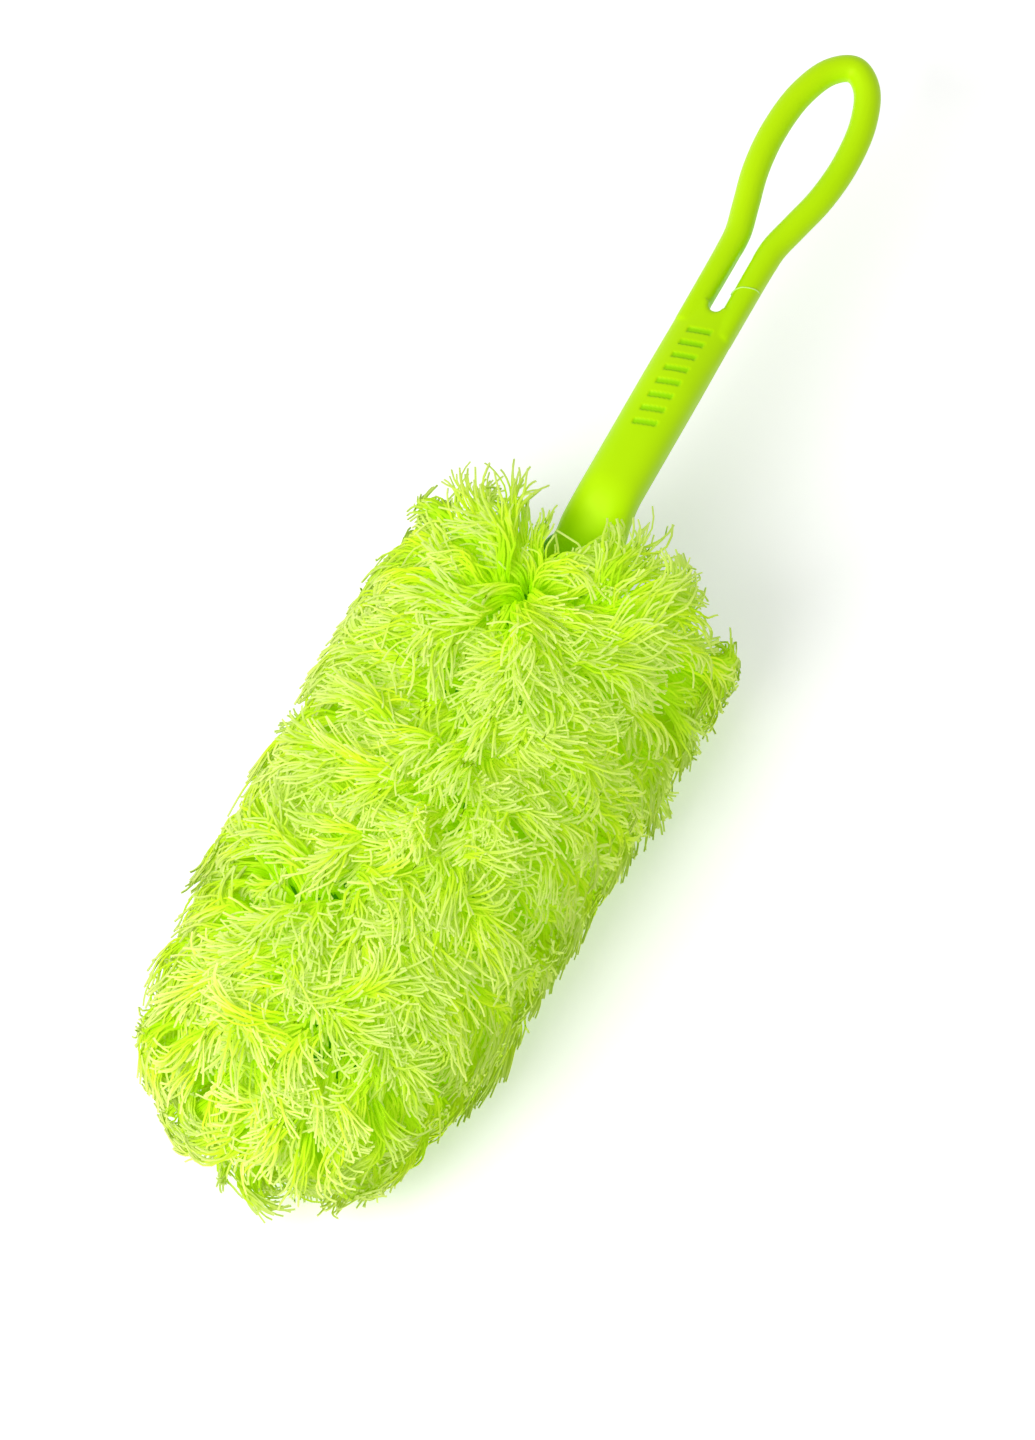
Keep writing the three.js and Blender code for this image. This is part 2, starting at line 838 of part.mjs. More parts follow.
// A point of the strand's curve at a share of its length
function strandPoint(root, sway, share) {
  const length = strandLength(root.normal);
  const behind = smooth((mouthX - root.point.x) / gatherLength);
  const lean = new THREE.Vector3(lerp(strandLeanShare, -strandLeanShare, behind), 0, 0);
  const droop = new THREE.Vector3(0, 0, -strandDroopShare * (1 - Math.abs(root.normal.z)));
  const bend = share * share * length;
  const point = root.point
    .clone()
    .addScaledVector(root.normal, length * share)
    .addScaledVector(lean, bend)
    .addScaledVector(droop, bend)
    .addScaledVector(sway, bend);
  const lowest = floorZ + strandFloorGap + (strandWidth / 2) * (1 - share);
  const squeeze = strandWidth;
  const above = point.z - lowest;
  point.z = above > squeeze ? point.z : lowest + squeeze * Math.exp((above - squeeze) / squeeze);
  return point;
}

function strandSolid(root, sway) {
  const spin = new THREE.Vector3().crossVectors(root.normal, Y);
  const tip = strandPoint(root, sway, 1);
  const rings = strandHeightShares.map((share, i) => {
    const centre = strandPoint(root, sway, share);
    const ahead = strandPoint(root, sway, share + strandAheadShare).sub(centre).normalize();
    const side = new THREE.Vector3().crossVectors(spin, ahead).normalize();
    const up = new THREE.Vector3().crossVectors(ahead, side);
    const radius = (strandWidth / 2) * strandWidthShares[i];
    return Array.from({ length: strandSides }, (_, k) => {
      const angle = (2 * Math.PI * k) / strandSides;
      return centre
        .clone()
        .addScaledVector(side, radius * Math.cos(angle))
        .addScaledVector(up, radius * Math.sin(angle));
    });
  });
  return solidOf(loft(rings, middle(rings[0]), tip));
}

// Rows of roots along the sleeve, each row spread evenly round its section
function strandRoots() {
  const gaps = [0];
  for (let i = 1; i < rootRings.length; i++) {
    const step = rootRings[i].map((p, k) => p.distanceTo(rootRings[i - 1][k]));
    gaps.push(gaps[i - 1] + step.reduce((sum, d) => sum + d, 0) / sleeveSides);
  }
  const reach = gaps[gaps.length - 1];
  const rowCount = Math.round(reach / strandSpacing);
  const roots = [];
  for (let row = 0; row < rowCount; row++) {
    const goal = ((row + 0.5) / rowCount) * reach;
    const i = gaps.findIndex((gap) => gap > goal);
    const station = i - 1 + (goal - gaps[i - 1]) / (gaps[i] - gaps[i - 1]);
    const line = Array.from({ length: sleeveSides + 1 }, (_, k) => between(rootRings, station, k));
    const round = line.slice(1).reduce((sum, p, k) => sum + p.distanceTo(line[k]), 0);
    const count = Math.floor(round / strandSpacing);
    const offset = rowStartShare + rowStaggerShare * (row % 2);
    spreadEvenly(line, count, offset).forEach(({ at, point }, place) => {
      const normal = between(rootNormals, station, at).normalize();
      roots.push({ point, normal, row, place });
    });
  }
  return roots;
}

function isUnderSole({ point }) {
  const inLength = point.x < soleRear + strandWidth && point.x > soleTip - strandWidth;
  return inLength && point.z < bladeHeight && Math.abs(point.y) < soleWidth / 2 + strandMargin;
}

function meetsNeck({ point, normal }) {
  const behind = mouthX - point.x < neckKeepOut;
  return behind && normal.z > 0 && Math.abs(point.y) < footWidth / 2 + strandWidth;
}

function buildPile() {
  const shell = layerSolid(layers.backingOuter, mouthX).subtract(
    layerSolid(layers.backingInner, mouthX + cutOverrun),
  );
  const strands = { pile_top: [], pile_bottom: [], pile_left: [], pile_right: [] };
  for (const root of strandRoots()) {
    const edge = edgeDistance(root.point);
    if (edge < strandWidth / 2 + strandMargin || isUnderSole(root) || meetsNeck(root)) continue;
    const phase = root.row * swayTurnShares.row + root.place * swayTurnShares.place;
    const sway = new THREE.Vector3(Math.sin(phase), Math.cos(phase * swayTurnShares.cross), 0);
    sway.multiplyScalar(strandSwayShare);
    strands[sliceAt(root.point)].push(strandSolid(root, sway));
  }
  const pile = {};
  for (const [name, slice] of Object.entries(slices)) {
    const base = name === "pile_bottom" ? [buildSole()] : [];
    pile[name] = wasm.Manifold.union([shell.intersect(slice), ...base, ...strands[name]]);
    pile[name] = pile[name].simplify(facetTolerance);
  }
  const all = Object.values(strands).flat();
  const apart = wasm.Manifold.union(all).decompose().length;
  console.log(`strands ${all.length}, of which stand apart ${apart}`);
  return pile;
}

// A folded tape round the mouth, with the elastic in its fold
function mouthRing(inner, outer, low, high) {
  const ringAt = (out, x) => {
    const layer = { ...layers.pocket, mouthOut: out };
    const flat = layerRing(layer, mouthX);
    return flat.map((p) => new THREE.Vector3(x, p.y, p.z));
  };
  const bar = (out, from, to) => solidOf(loftCapped([ringAt(out, from), ringAt(out, to)]));
  return bar(outer, high, low).subtract(bar(inner, high + cutOverrun, low - cutOverrun));
}

const bindingLow = mouthX + clearance;
const bindingHigh = bindingLow + bindingLength;
const elasticIn = (bindingThickness - elasticThickness) / 2;

function buildBinding() {
  const fold = mouthRing(
    elasticIn - clearance,
    elasticIn + elasticThickness + clearance,
    bindingHigh - elasticDepth - clearance,
    bindingHigh + cutOverrun,
  );
  return mouthRing(0, bindingThickness, bindingLow, bindingHigh).subtract(fold);
}

function buildElastic() {
  return mouthRing(
    elasticIn,
    elasticIn + elasticThickness,
    bindingHigh - elasticDepth,
    bindingHigh - clearance,
  );
}

const limeSatin = 0xa6f510;
const limeShade = 0x6fd010;
const limeFibre = 0xbdf03c;
const steel = 0xb9bcc0;
const paleCloth = 0xe4f7b0;
const wadding = 0xf2f4ea;

addPiece("handle", buildHandle(), limeSatin, 0.42);
addPiece("blade", buildBlade(), limeShade, 0.5);
screwPlaces().forEach((x, i) => addPiece(`blade_screw_${i + 1}`, buildScrew(x), steel, 0.35, 1));
addPiece("lining", buildLining(), paleCloth, 0.9);
addPiece("padding_top", buildPad(upperHalf), wadding, 0.95);
addPiece("padding_bottom", buildPad(lowerHalf), wadding, 0.95);
addPiece("mouth_binding", buildBinding(), limeFibre, 0.85);
addPiece("mouth_elastic", buildElastic(), paleCloth, 0.8);
for (const [name, solid] of Object.entries(buildPile())) {
  addPiece(name, solid, limeFibre, 0.9);
}

// The origin goes on the floor under the middle of the object.
const bounds = new THREE.Box3().setFromObject(group);
const centre = bounds.getCenter(new THREE.Vector3());
group.position.set(-centre.x, -centre.y, -bounds.min.z);

export default group;
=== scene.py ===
"""A lime hand duster lying on a white table: moulded handle with a hanging loop, flat blade,
and a pull-off sleeve of loose microfibre strands. Lengths are written in millimetres."""

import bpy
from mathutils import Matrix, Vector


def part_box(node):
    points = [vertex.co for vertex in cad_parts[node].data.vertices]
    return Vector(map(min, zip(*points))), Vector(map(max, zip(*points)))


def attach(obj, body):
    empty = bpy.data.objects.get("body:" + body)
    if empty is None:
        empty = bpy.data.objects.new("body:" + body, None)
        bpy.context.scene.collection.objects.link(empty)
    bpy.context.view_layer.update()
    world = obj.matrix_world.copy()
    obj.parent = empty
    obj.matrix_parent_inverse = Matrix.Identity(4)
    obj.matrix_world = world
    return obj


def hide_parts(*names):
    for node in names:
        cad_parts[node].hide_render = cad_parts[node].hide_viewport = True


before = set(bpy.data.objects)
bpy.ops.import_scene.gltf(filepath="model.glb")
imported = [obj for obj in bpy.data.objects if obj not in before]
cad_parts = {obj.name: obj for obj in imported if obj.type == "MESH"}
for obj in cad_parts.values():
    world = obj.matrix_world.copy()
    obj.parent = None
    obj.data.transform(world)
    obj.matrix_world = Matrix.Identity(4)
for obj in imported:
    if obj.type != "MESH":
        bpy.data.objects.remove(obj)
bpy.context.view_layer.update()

import math
from collections import namedtuple
from itertools import product

import bmesh
import bpy
import numpy as np
from mathutils import Vector
from mathutils.bvhtree import BVHTree

MM = 0.001
SEED = 8

# Places taken from the frame
handle_low, handle_high = (np.array(corner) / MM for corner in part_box("handle"))
blade_low, blade_high = (np.array(corner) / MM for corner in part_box("blade"))
mouth_low, mouth_high = (np.array(corner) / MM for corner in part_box("mouth_binding"))
lining_low, lining_high = (np.array(corner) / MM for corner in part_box("lining"))
elastic_low, elastic_high = (np.array(corner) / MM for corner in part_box("mouth_elastic"))
LOOP_TIP_X = handle_high[0]
MIDDLE_Y = (handle_low[1] + handle_high[1]) / 2
BLADE_Z = (blade_low[2] + blade_high[2]) / 2
BLADE_TOP = blade_high[2]
MOUTH_X = lining_high[0]

# Handle
GRIP_WIDTH = 20.0
GRIP_THICKNESS = 17.0
FORK_THICKNESS = 10.5
FORK_LENGTH = 31.4
GRIP_LENGTH = 67.4
SLOT_WIDTH = 4.4
SLOT_LENGTH = 23.6
SLOT_EDGE = 1.8
LEG_ROOT = 7.0
LOOP_LENGTH = 75.0
LOOP_WIDTH = 25.8
LOOP_ROD = 8.8
LEG_WIDTH = (GRIP_WIDTH - SLOT_WIDTH) / 2
LEG_MIDDLE = (SLOT_WIDTH + LEG_WIDTH) / 2
FORK_END = SLOT_LENGTH + SLOT_WIDTH
NECK_BEND = 20.0
NECK_ANGLE = math.radians(45)
NECK_THICKNESS = 13.0
NECK_STEPS = 26
FOOT_LENGTH = 27.0
FOOT_THICKNESS = 7.0
FOOT_TIP_THICKNESS = 3.0
FOOT_WIDTH = 25.0
GRIP_ROUND = 0.8
ROD_ROUND = 1.0
FOOT_ROUND = 0.625
FIT_GAP = 0.3
BLADE_REAR_WIDTH = 30.0
UNDER_CUT_DEPTH = 12.0
UNDER_CUT_SPARE = 5.0
HANDLE_VOXEL = 0.45
HANDLE_RELAX = 7
SLOT_X = LOOP_TIP_X - FORK_END - LOOP_LENGTH
FOOT_Z = BLADE_TOP + FIT_GAP
NECK_SLOPE = 3.1
GRIP_Z = (
    FOOT_Z
    + FOOT_THICKNESS / 2
    + 2 * NECK_BEND * (1 - math.cos(NECK_ANGLE))
    + NECK_SLOPE * math.tan(NECK_ANGLE)
)
NECK_END_X = SLOT_X - GRIP_LENGTH - 2 * NECK_BEND * math.sin(NECK_ANGLE) - NECK_SLOPE

# Shares of the foot's length and width, and of the loop's length and width
FOOT_TAPER_SHARES = (
    (0.3, 1), (0.55, 1), (0.75, 0.98), (0.86, 0.94), (0.93, 0.87), (0.97, 0.78), (1, 0.55)
)
LOOP_SHARES = ((0.03, 0.5), (0.17, 0.68), (0.35, 0.91), (0.56, 1), (0.78, 0.87), (0.94, 0.5))

# Marks on the grip and on the leg, counted from the slot's closed end
DASH_START = -49.4
DASHES = 8
DASH_PITCH = 5.375
DASH_WIDTH = 1.9
DASH_LENGTH = 7.4
DASH_SLANT = 0.32
DASH_DEPTH = 0.6
DASH_SOFT = 0.35
MOULD_LINE_X = 8.7
MOULD_LINE_RUN = 4.6
MOULD_LINE_ARC = (12, 172)
MOULD_LINE_RADIUS = 0.32

# Sleeve, from the inside out: pocket, lining, padding, backing
POCKET_MOUTH = (24.0, 11.2, 4.4)
POCKET_BODY = (24.0, 4.4, 4.4)
PAD_BODY = (31.3, 11.0, 11.0)
LINING = 1.0
PAD_MOUTH = 0.8
BACKING = 1.7
POCKET_ROUND = 0.4
SLEEVE_ROUND = 0.74
POCKET_TIP_ROUND = 0.667
SLEEVE_TIP_ROUND = 0.909
GATHER = 30.0
TIP_LENGTH = 42.0
TIP_ARC = 1.35
PAD_INSET = 6.0
PAD_LUMP, PAD_LUMP_WAVE = 0.3, 16
SEAM_GAP = 0.3
SLEEVE_TIP_X = lining_low[0] - 2.5 - BACKING
TIP_START_X = SLEEVE_TIP_X + TIP_LENGTH
POCKET_TIP_X = lining_low[0] + LINING
BODY_SIDE = PAD_BODY[0] + BACKING
PAD_OUT = LINING + FIT_GAP
PAD_OUTER_OUT = PAD_OUT + PAD_MOUTH
BACKING_IN = PAD_OUTER_OUT + FIT_GAP

# A layer's body section, how far it lies outside the pocket at the mouth and outside the body
Layer = namedtuple("Layer", "body mouth_out body_out round tip")
POCKET = Layer(POCKET_BODY, 0, 0, POCKET_ROUND, POCKET_TIP_X)
LINING_OUTER = Layer(POCKET_BODY, LINING, LINING, POCKET_ROUND, POCKET_TIP_X - LINING)
PAD_INNER = Layer(POCKET_BODY, PAD_OUT, PAD_OUT, POCKET_ROUND, POCKET_TIP_X - PAD_OUT)
PAD_OUTER = Layer(
    PAD_BODY, PAD_OUTER_OUT, -FIT_GAP, SLEEVE_ROUND, SLEEVE_TIP_X + BACKING + FIT_GAP
)
BACKING_INNER = Layer(PAD_BODY, BACKING_IN, 0, SLEEVE_ROUND, SLEEVE_TIP_X + BACKING)
BACKING_OUTER = Layer(PAD_BODY, BACKING_IN + BACKING, BACKING, SLEEVE_ROUND, SLEEVE_TIP_X)

# Binding tape round the mouth, its stitches, and the elastic in its fold
BINDING_THICKNESS = 2.6
TAPE = 0.55
ELASTIC_IN = 0.8
ELASTIC_THICKNESS = 1.0
STITCHES = 84
STITCH_IN = 1.3
STITCH_SHARE = 0.62
STITCH_LIFT, STITCH_SUNK = 0.28, 0.1
THREAD_RADIUS = 0.2
FOLDS = 46

# Pile: strands stand in locks, and locks in tufts, with least gaps between their roots
SURFACE_SAMPLES = 30000
LOCK_GAP = 2.9
RIM_LOCK_GAP = 2.5
RIM_DEPTH = 13.0
STRANDS_PER_LOCK = 18
MOST_STRANDS = 2300
TUFT_GAP = 12.0
TUFT_PULL = 0.33
GUIDE_STEPS = 16
GUIDE_SPARE = 1.2
STRAND_STEPS = 14
STRAND_SIDES = 3
STRAND_RADIUS = 0.43
STRAND_TAPER = 0.12
TONES = 64
SOFT_SHARE = 0.7

# Pile height over the backing, and how its lie turns, in radians, and its height varies
PILE_SIDE, PILE_TOP, PILE_UNDER = 32.5, 35.0, 16.0
BROAD_WAVE, FINE_WAVE, RELIEF_WAVE = 60, 26, 34
BROAD_TURN, FINE_TURN, TUFT_TURN, LOCK_TURN = 0.3, 0.2, 0.4, 0.2
BOW = 0.04
RELIEF, RELIEF_LIMITS = 0.08, (0.8, 1.03)
LAYER_DEPTH = 0.42
TUFT_HEIGHT = (1.02, 0.05)
TUFT_EDGE, TUFT_EDGE_ON_TOP = 0.15, 0.3
NECK_LOSS = (0.05, 0.4)
LENGTH_SHARE = (1.19, 0.07)
RIM_LENGTH = 0.5
ROOT_LENGTH = 5.0

# How a lock grows: its first rise, how it holds its heading, droops and stays off the table
ROOT_RISE = 1.5
HOLD = 0.9
DROOP = 0.3
LOCK_LOWEST, STRAND_LOWEST = (1.5, 5), (0.7, 5)

# How strands differ in a lock: length, place, spread at the cut end, curl, waves and tone
REACH_SPREAD, REACH_LIMITS = 0.11, (0.6, 1.19)
LOCK_SIDE, LOCK_FAN = 1.3, (1.8, 3.8)
LOCK_OVER, LOCK_OVER_END = 0.9, 1.4
DRIFT_SIDE, DRIFT_OVER = 1.1, 0.9
LOCK_CURL, STRAND_CURL = 0.65, 0.28
LOCK_WAVES, STRAND_WAVES = 0.07, 0.05
TONE_MIDDLE, LOCK_TONE, STRAND_TONE = 0.5, 0.21, 0.13
RADIUS_SPREAD, RADIUS_LIMITS = 0.11, (0.75, 1.25)

# The head's trimmed outline seen from above: straight sides and oval ends, and a soft top
TRIM_TIP_X = -150.0
TRIM_NECK_X = 0.0
TRIM_TIP_REACH = (67.0, 59.0)
TRIM_NECK_REACH = 54.0
TRIM_LEFT = (54.0, 52.5)
TRIM_RIGHT = (52.0, 57.5)
TRIM_HEIGHT = 62.0
TRIM_EDGE = 0.13
TRIM_Z = 76.0
TRIM_SOFT = 10.0

# Room that the strands leave beside the neck, round it and over the blade's rear
PARTING = 10.5
PARTING_HOLD = 0.75
NECK_CLEARANCE = 0.9
BLADE_CLEARANCE = 3.6

# Camera, from the photograph: pixels of the 1035 by 1440 frame and where they lie
PHOTO_WIDTH = 1035
PHOTO_HEIGHT = 1440
PIXEL = 0.3195
SLOT_PIXEL = (712.5, 316)
AZIMUTH = math.radians(297.6)
ELEVATION = math.radians(65)
CAMERA_DISTANCE = 15000.0
SENSOR = 36


def mm(*values):
    """Millimetres in the row frame as a Blender vector in metres."""
    return Vector(values) * MM


def new_object(name, data):
    """An object in the scene that shows the data."""
    made = bpy.data.objects.new(name, data)
    bpy.context.scene.collection.objects.link(made)
    return made


def aim(thing, way):
    """Turns a camera or lamp to look along a vector."""
    thing.rotation_mode = "QUATERNION"
    thing.rotation_quaternion = way.to_track_quat("-Z", "Y")


def make_camera():
    level = math.cos(ELEVATION)
    back = Vector((math.sin(AZIMUTH) * level, -math.cos(AZIMUTH) * level, math.sin(ELEVATION)))
    right = Vector((math.cos(AZIMUTH), math.sin(AZIMUTH), 0))
    up = back.cross(right)
    across = (PHOTO_WIDTH / 2 - SLOT_PIXEL[0]) * PIXEL * MM
    above = (SLOT_PIXEL[1] - PHOTO_HEIGHT / 2) * PIXEL * MM
    target = mm(SLOT_X, MIDDLE_Y, GRIP_Z) + right * across + up * above
    data = bpy.data.cameras.new("camera")
    data.sensor_width = SENSOR
    data.lens = SENSOR * CAMERA_DISTANCE / (PHOTO_HEIGHT * PIXEL)
    data.clip_end = 40
    camera = new_object("camera", data)
    camera.location = target + back * CAMERA_DISTANCE * MM
    aim(camera, -back)
    bpy.context.scene.camera = camera


make_camera()


# Numbers and vectors


def smoothstep(share):
    s = np.clip(share, 0, 1)
    return s * s * (3 - 2 * s)


def fade(value, start, end):
    """0 at the start and before it, 1 at the end and beyond it, smooth between them."""
    return smoothstep((value - start) / (end - start))


def lerp(a, b, share):
    return a + (b - a) * share


def unit(vectors):
    return vectors / (np.linalg.norm(vectors, axis=-1, keepdims=True) + 1e-9)


def circle(sides):
    return np.linspace(0, 2 * np.pi, sides, endpoint=False)


def section(centre, side, up, width, thickness, round_share, angles):
    """A ring of points round a centre: an ellipse at a round share of 1, squarer with less."""
    c, s = np.cos(angles), np.sin(angles)
    u = np.sign(c) * np.abs(c) ** round_share * width / 2
    v = np.sign(s) * np.abs(s) ** round_share * thickness / 2
    return np.array(centre) + np.outer(u, side) + np.outer(v, up)


def smooth_noise(random, wavelength, waves=7):
    """A smooth random field over points in millimetres, with values near -1 to 1."""
    directions = random.normal(0, 1, (waves, 3))
    directions /= np.linalg.norm(directions, axis=1)[:, None]
    pace = 2 * np.pi / (wavelength * random.uniform(0.7, 1.5, waves))
    phases = random.uniform(0, 2 * np.pi, waves)

    def field(points):
        angles = points @ (directions * pace[:, None]).T + phases
        return np.sin(angles).sum(axis=1) / math.sqrt(waves)

    return field


# Meshes


def skin(rows, sides):
    """Faces between closed rings of points that follow each other."""
    faces = []
    for start in range(0, (rows - 1) * sides, sides):
        for k in range(sides):
            a, b = start + k, start + (k + 1) % sides
            faces.append((a, b, b + sides, a + sides))
    return faces


def mesh_object(name, points, faces):
    """A mesh object from points in millimetres."""
    mesh = bpy.data.meshes.new(name)
    mesh.from_pydata((np.asarray(points) * MM).tolist(), [], [list(f) for f in faces])
    mesh.validate()
    return new_object(name, mesh)


def loft(name, rings, closed_ends=True):
    """A skin over rings of points, each an array of shape (count, 3)."""
    rings = np.asarray(rings)
    rows, sides = rings.shape[:2]
    faces = skin(rows, sides)
    if closed_ends:
        faces.append(tuple(range(sides))[::-1])
        faces.append(tuple(range((rows - 1) * sides, rows * sides)))
    return mesh_object(name, rings.reshape(-1, 3), faces)


def modify(piece, kind, **settings):
    """Bakes a modifier into a piece's mesh."""
    modifier = piece.modifiers.new(kind, kind)
    for name, value in settings.items():
        setattr(modifier, name, value)
    graph = bpy.context.evaluated_depsgraph_get()
    made = bpy.data.meshes.new_from_object(piece.evaluated_get(graph))
    old = piece.data
    piece.modifiers.clear()
    piece.data = made
    bpy.data.meshes.remove(old)


def cut(piece, tool):
    modify(piece, "BOOLEAN", object=tool, operation="DIFFERENCE", solver="EXACT")
    bpy.data.objects.remove(tool)


def join(pieces, name):
    """Several objects as one mesh, with their faces side by side."""
    joined = bmesh.new()
    for piece in pieces:
        joined.from_mesh(piece.data)
        bpy.data.objects.remove(piece)
    mesh = bpy.data.meshes.new(name)
    joined.to_mesh(mesh)
    joined.free()
    return new_object(name, mesh)


def fix_normals(piece, merge=False):
    """Turns a closed mesh's faces outwards, and may first merge the points that coincide."""
    work = bmesh.new()
    work.from_mesh(piece.data)
    if merge:
        bmesh.ops.remove_doubles(work, verts=work.verts, dist=1e-6)
    bmesh.ops.recalc_face_normals(work, faces=work.faces)
    work.to_mesh(piece.data)
    work.free()


def box_tool(ends, reach, low_z, high_z):
    """A box to cut with, from one x to another."""
    corners = ((-reach, low_z), (reach, low_z), (reach, high_z), (-reach, high_z))
    tool = loft("box_tool", [[(x, y, z) for y, z in corners] for x in ends])
    fix_normals(tool)
    return tool


def vertex_arrays(mesh):
    """A mesh's points in metres and their normals, as two arrays."""
    arrays = []
    for name in ("co", "normal"):
        values = np.empty(len(mesh.vertices) * 3)
        mesh.vertices.foreach_get(name, values)
        arrays.append(values.reshape(-1, 3))
    return arrays


def push_in(mesh, depths):
    """Moves each of a mesh's points in, against its normal."""
    points, normals = vertex_arrays(mesh)
    mesh.vertices.foreach_set("co", (points - normals * (depths * MM)[:, None]).ravel())
    mesh.update()


def mark_points(mesh, label, values):
    attribute = mesh.attributes.new(label, "FLOAT", "POINT")
    attribute.data.foreach_set("value", values.astype(np.float32))


def place_piece(piece, body, node=None):
    """Hangs a piece on the empty of the body that carries it, and hides the CAD node it replaces.
    """
    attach(piece, body)
    if node:
        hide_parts(node)


def finish_piece(piece, body, material, node=None, smooth_angle=50):
    """Smooths a piece up to an angle between its faces, and gives it its material and place."""
    piece.data.shade_smooth()
    piece.data.set_sharp_from_angle(angle=math.radians(smooth_angle))
    piece.data.materials.append(material)
    place_piece(piece, body, node)


# Materials


def feed(node, inputs):
    """Gives each input of a node its value, or a link where the value is another's socket."""
    for name, value in inputs.items():
        if isinstance(value, bpy.types.NodeSocket):
            node.id_data.links.new(value, node.inputs[name])
        else:
            node.inputs[name].default_value = value


def add_node(tree, kind, inputs=None, **settings):
    node = tree.nodes.new("ShaderNode" + kind)
    for name, value in settings.items():
        setattr(node, name, value)
    feed(node, inputs or {})
    return node


def new_material(name):
    """A new material, with its node tree and its shader."""
    material = bpy.data.materials.new(name)
    material.use_nodes = True
    tree = material.node_tree
    return material, tree, tree.nodes["Principled BSDF"]


def object_space(tree):
    return add_node(tree, "TexCoord").outputs["Object"]


def noise(tree, scale, detail, distortion=0.0):
    inputs = {"Vector": object_space(tree), "Scale": scale, "Detail": detail}
    return add_node(tree, "TexNoise", inputs | {"Distortion": distortion}).outputs["Fac"]


def ribs(tree, direction, scale, distortion):
    inputs = {"Vector": object_space(tree), "Scale": scale, "Distortion": distortion}
    return add_node(tree, "TexWave", inputs, bands_direction=direction).outputs["Fac"]


def attribute(tree, label):
    return add_node(tree, "Attribute", attribute_name=label).outputs["Fac"]


def spread(tree, value, low, high):
    """A value from 0 to 1 turned into one from low to high."""
    inputs = {"Value": value, "To Min": low, "To Max": high}
    return add_node(tree, "MapRange", inputs).outputs["Result"]


def colors(tree, value, stops):
    """A colour ramp over a value, with stops of place and colour."""
    ramp = add_node(tree, "ValToRGB", {"Fac": value})
    elements = ramp.color_ramp.elements
    while len(elements) < len(stops):
        elements.new(0.5)
    for element, (place, color) in zip(elements, stops):
        element.position = place
        element.color = (*color, 1)
    return ramp.outputs["Color"]


def mottled(tree, value, dark, light):
    return colors(tree, value, [(0.3, dark), (0.7, light)])


def bump(tree, height, strength, distance):
    inputs = {"Height": height, "Strength": strength, "Distance": distance * MM}
    return add_node(tree, "Bump", inputs).outputs["Normal"]


def plastic_material(name, dark, light, roughness):
    """Satin moulded plastic: slow changes of tone and a very fine moulded grain."""
    material, tree, shader = new_material(name)
    tone = noise(tree, 22, 2)
    feed(shader, {
        "Base Color": mottled(tree, tone, dark, light),
        "Normal": bump(tree, noise(tree, 1400, 2), 0.12, 0.05),
        "Roughness": spread(tree, tone, roughness - 0.05, roughness + 0.05),
        "Specular IOR Level": 0.4,
        "Specular Tint": (0.9, 1.0, 0.15, 1),
    })
    return material


def shade_pressed_marks(material, color):
    """Painted shade: what is pressed into a plastic piece gets a deeper colour, for its groove's
    shade.
    """
    tree = material.node_tree
    base = tree.nodes["Principled BSDF"].inputs["Base Color"]
    mix = add_node(tree, "Mix", data_type="RGBA")
    plain = base.links[0].from_socket
    feed(mix, {"Factor": attribute(tree, "pressed"), "A": plain, "B": (*color, 1)})
    tree.links.new(mix.outputs["Result"], base)


def strand_material():
    """Microfibre, each strand its own tone. Painted shade: a deep colour near the root, down in
    the pile. Painted light: pale at the cut end, and a little light of its own, a glow that lifts
    the shade between the strands and stands for the light through thin strands."""
    material, tree, shader = new_material("microfibre")
    tone = attribute(tree, "tone")
    # Painted shade and light: deep green at the root, down in the pile, pale at the cut end
    painted_depth_shade = colors(tree, attribute(tree, "along"), [
        (0.0, (0.17, 0.68, 0.0)),
        (0.35, (0.4, 0.78, 0.0)),
        (0.7, (0.58, 0.735, 0.03)),
        (1.0, (0.71, 0.735, 0.27)),
    ])
    toned = add_node(tree, "HueSaturation", {
        "Color": painted_depth_shade,
        "Value": spread(tree, tone, 0.86, 1.07),
        "Hue": spread(tree, tone, 0.515, 0.49),
    })
    feed(shader, {
        "Base Color": toned.outputs["Color"],
        "Roughness": 0.85,
        "Specular IOR Level": 0.06,
        "Sheen Weight": 0.06,
        "Sheen Roughness": 0.5,
        "Sheen Tint": (0.8, 1.0, 0.2, 1),
        # Painted light: the strands glow a little, which lifts the shade between them
        "Emission Color": (0.5, 1.0, 0.0, 1),
        "Emission Strength": 0.3,
    })
    return material


def cloth_material(name, dark, light, threads):
    """Plain woven cloth: two crossed wave patterns as the weave, with slow soiling."""
    material, tree, shader = new_material(name)
    crossed = {i: ribs(tree, direction, threads, 0.6) for i, direction in enumerate("XY")}
    weave = add_node(tree, "Math", crossed, operation="ADD").outputs["Value"]
    feed(shader, {
        "Base Color": mottled(tree, noise(tree, 60, 4), dark, light),
        "Normal": bump(tree, weave, 0.5, 0.25),
        "Roughness": 0.9,
        "Sheen Weight": 0.15,
    })
    return material


def wadding_material():
    """Matt fibre fill: pale, cloudy and finely fibrous."""
    material, tree, shader = new_material("wadding")
    cloud = noise(tree, 90, 6)
    fibre = noise(tree, 1100, 6, 2.0)
    feed(shader, {
        "Base Color": mottled(tree, cloud, (0.8, 0.82, 0.72), (0.9, 0.91, 0.84)),
        "Normal": bump(tree, fibre, 0.7, 0.4),
        "Roughness": 0.95,
        "Sheen Weight": 0.3,
    })
    return material


def ribbed_material(name, dark, light, threads, roughness):
    """Woven tape, elastic or thread: fine ribs across, with a slow change of tone."""
    material, tree, shader = new_material(name)
    feed(shader, {
        "Base Color": mottled(tree, noise(tree, 80, 3), dark, light),
        "Normal": bump(tree, ribs(tree, "X", threads, 0.4), 0.5, 0.2),
        "Roughness": roughness,
        "Sheen Weight": 0.15,
    })
    return material


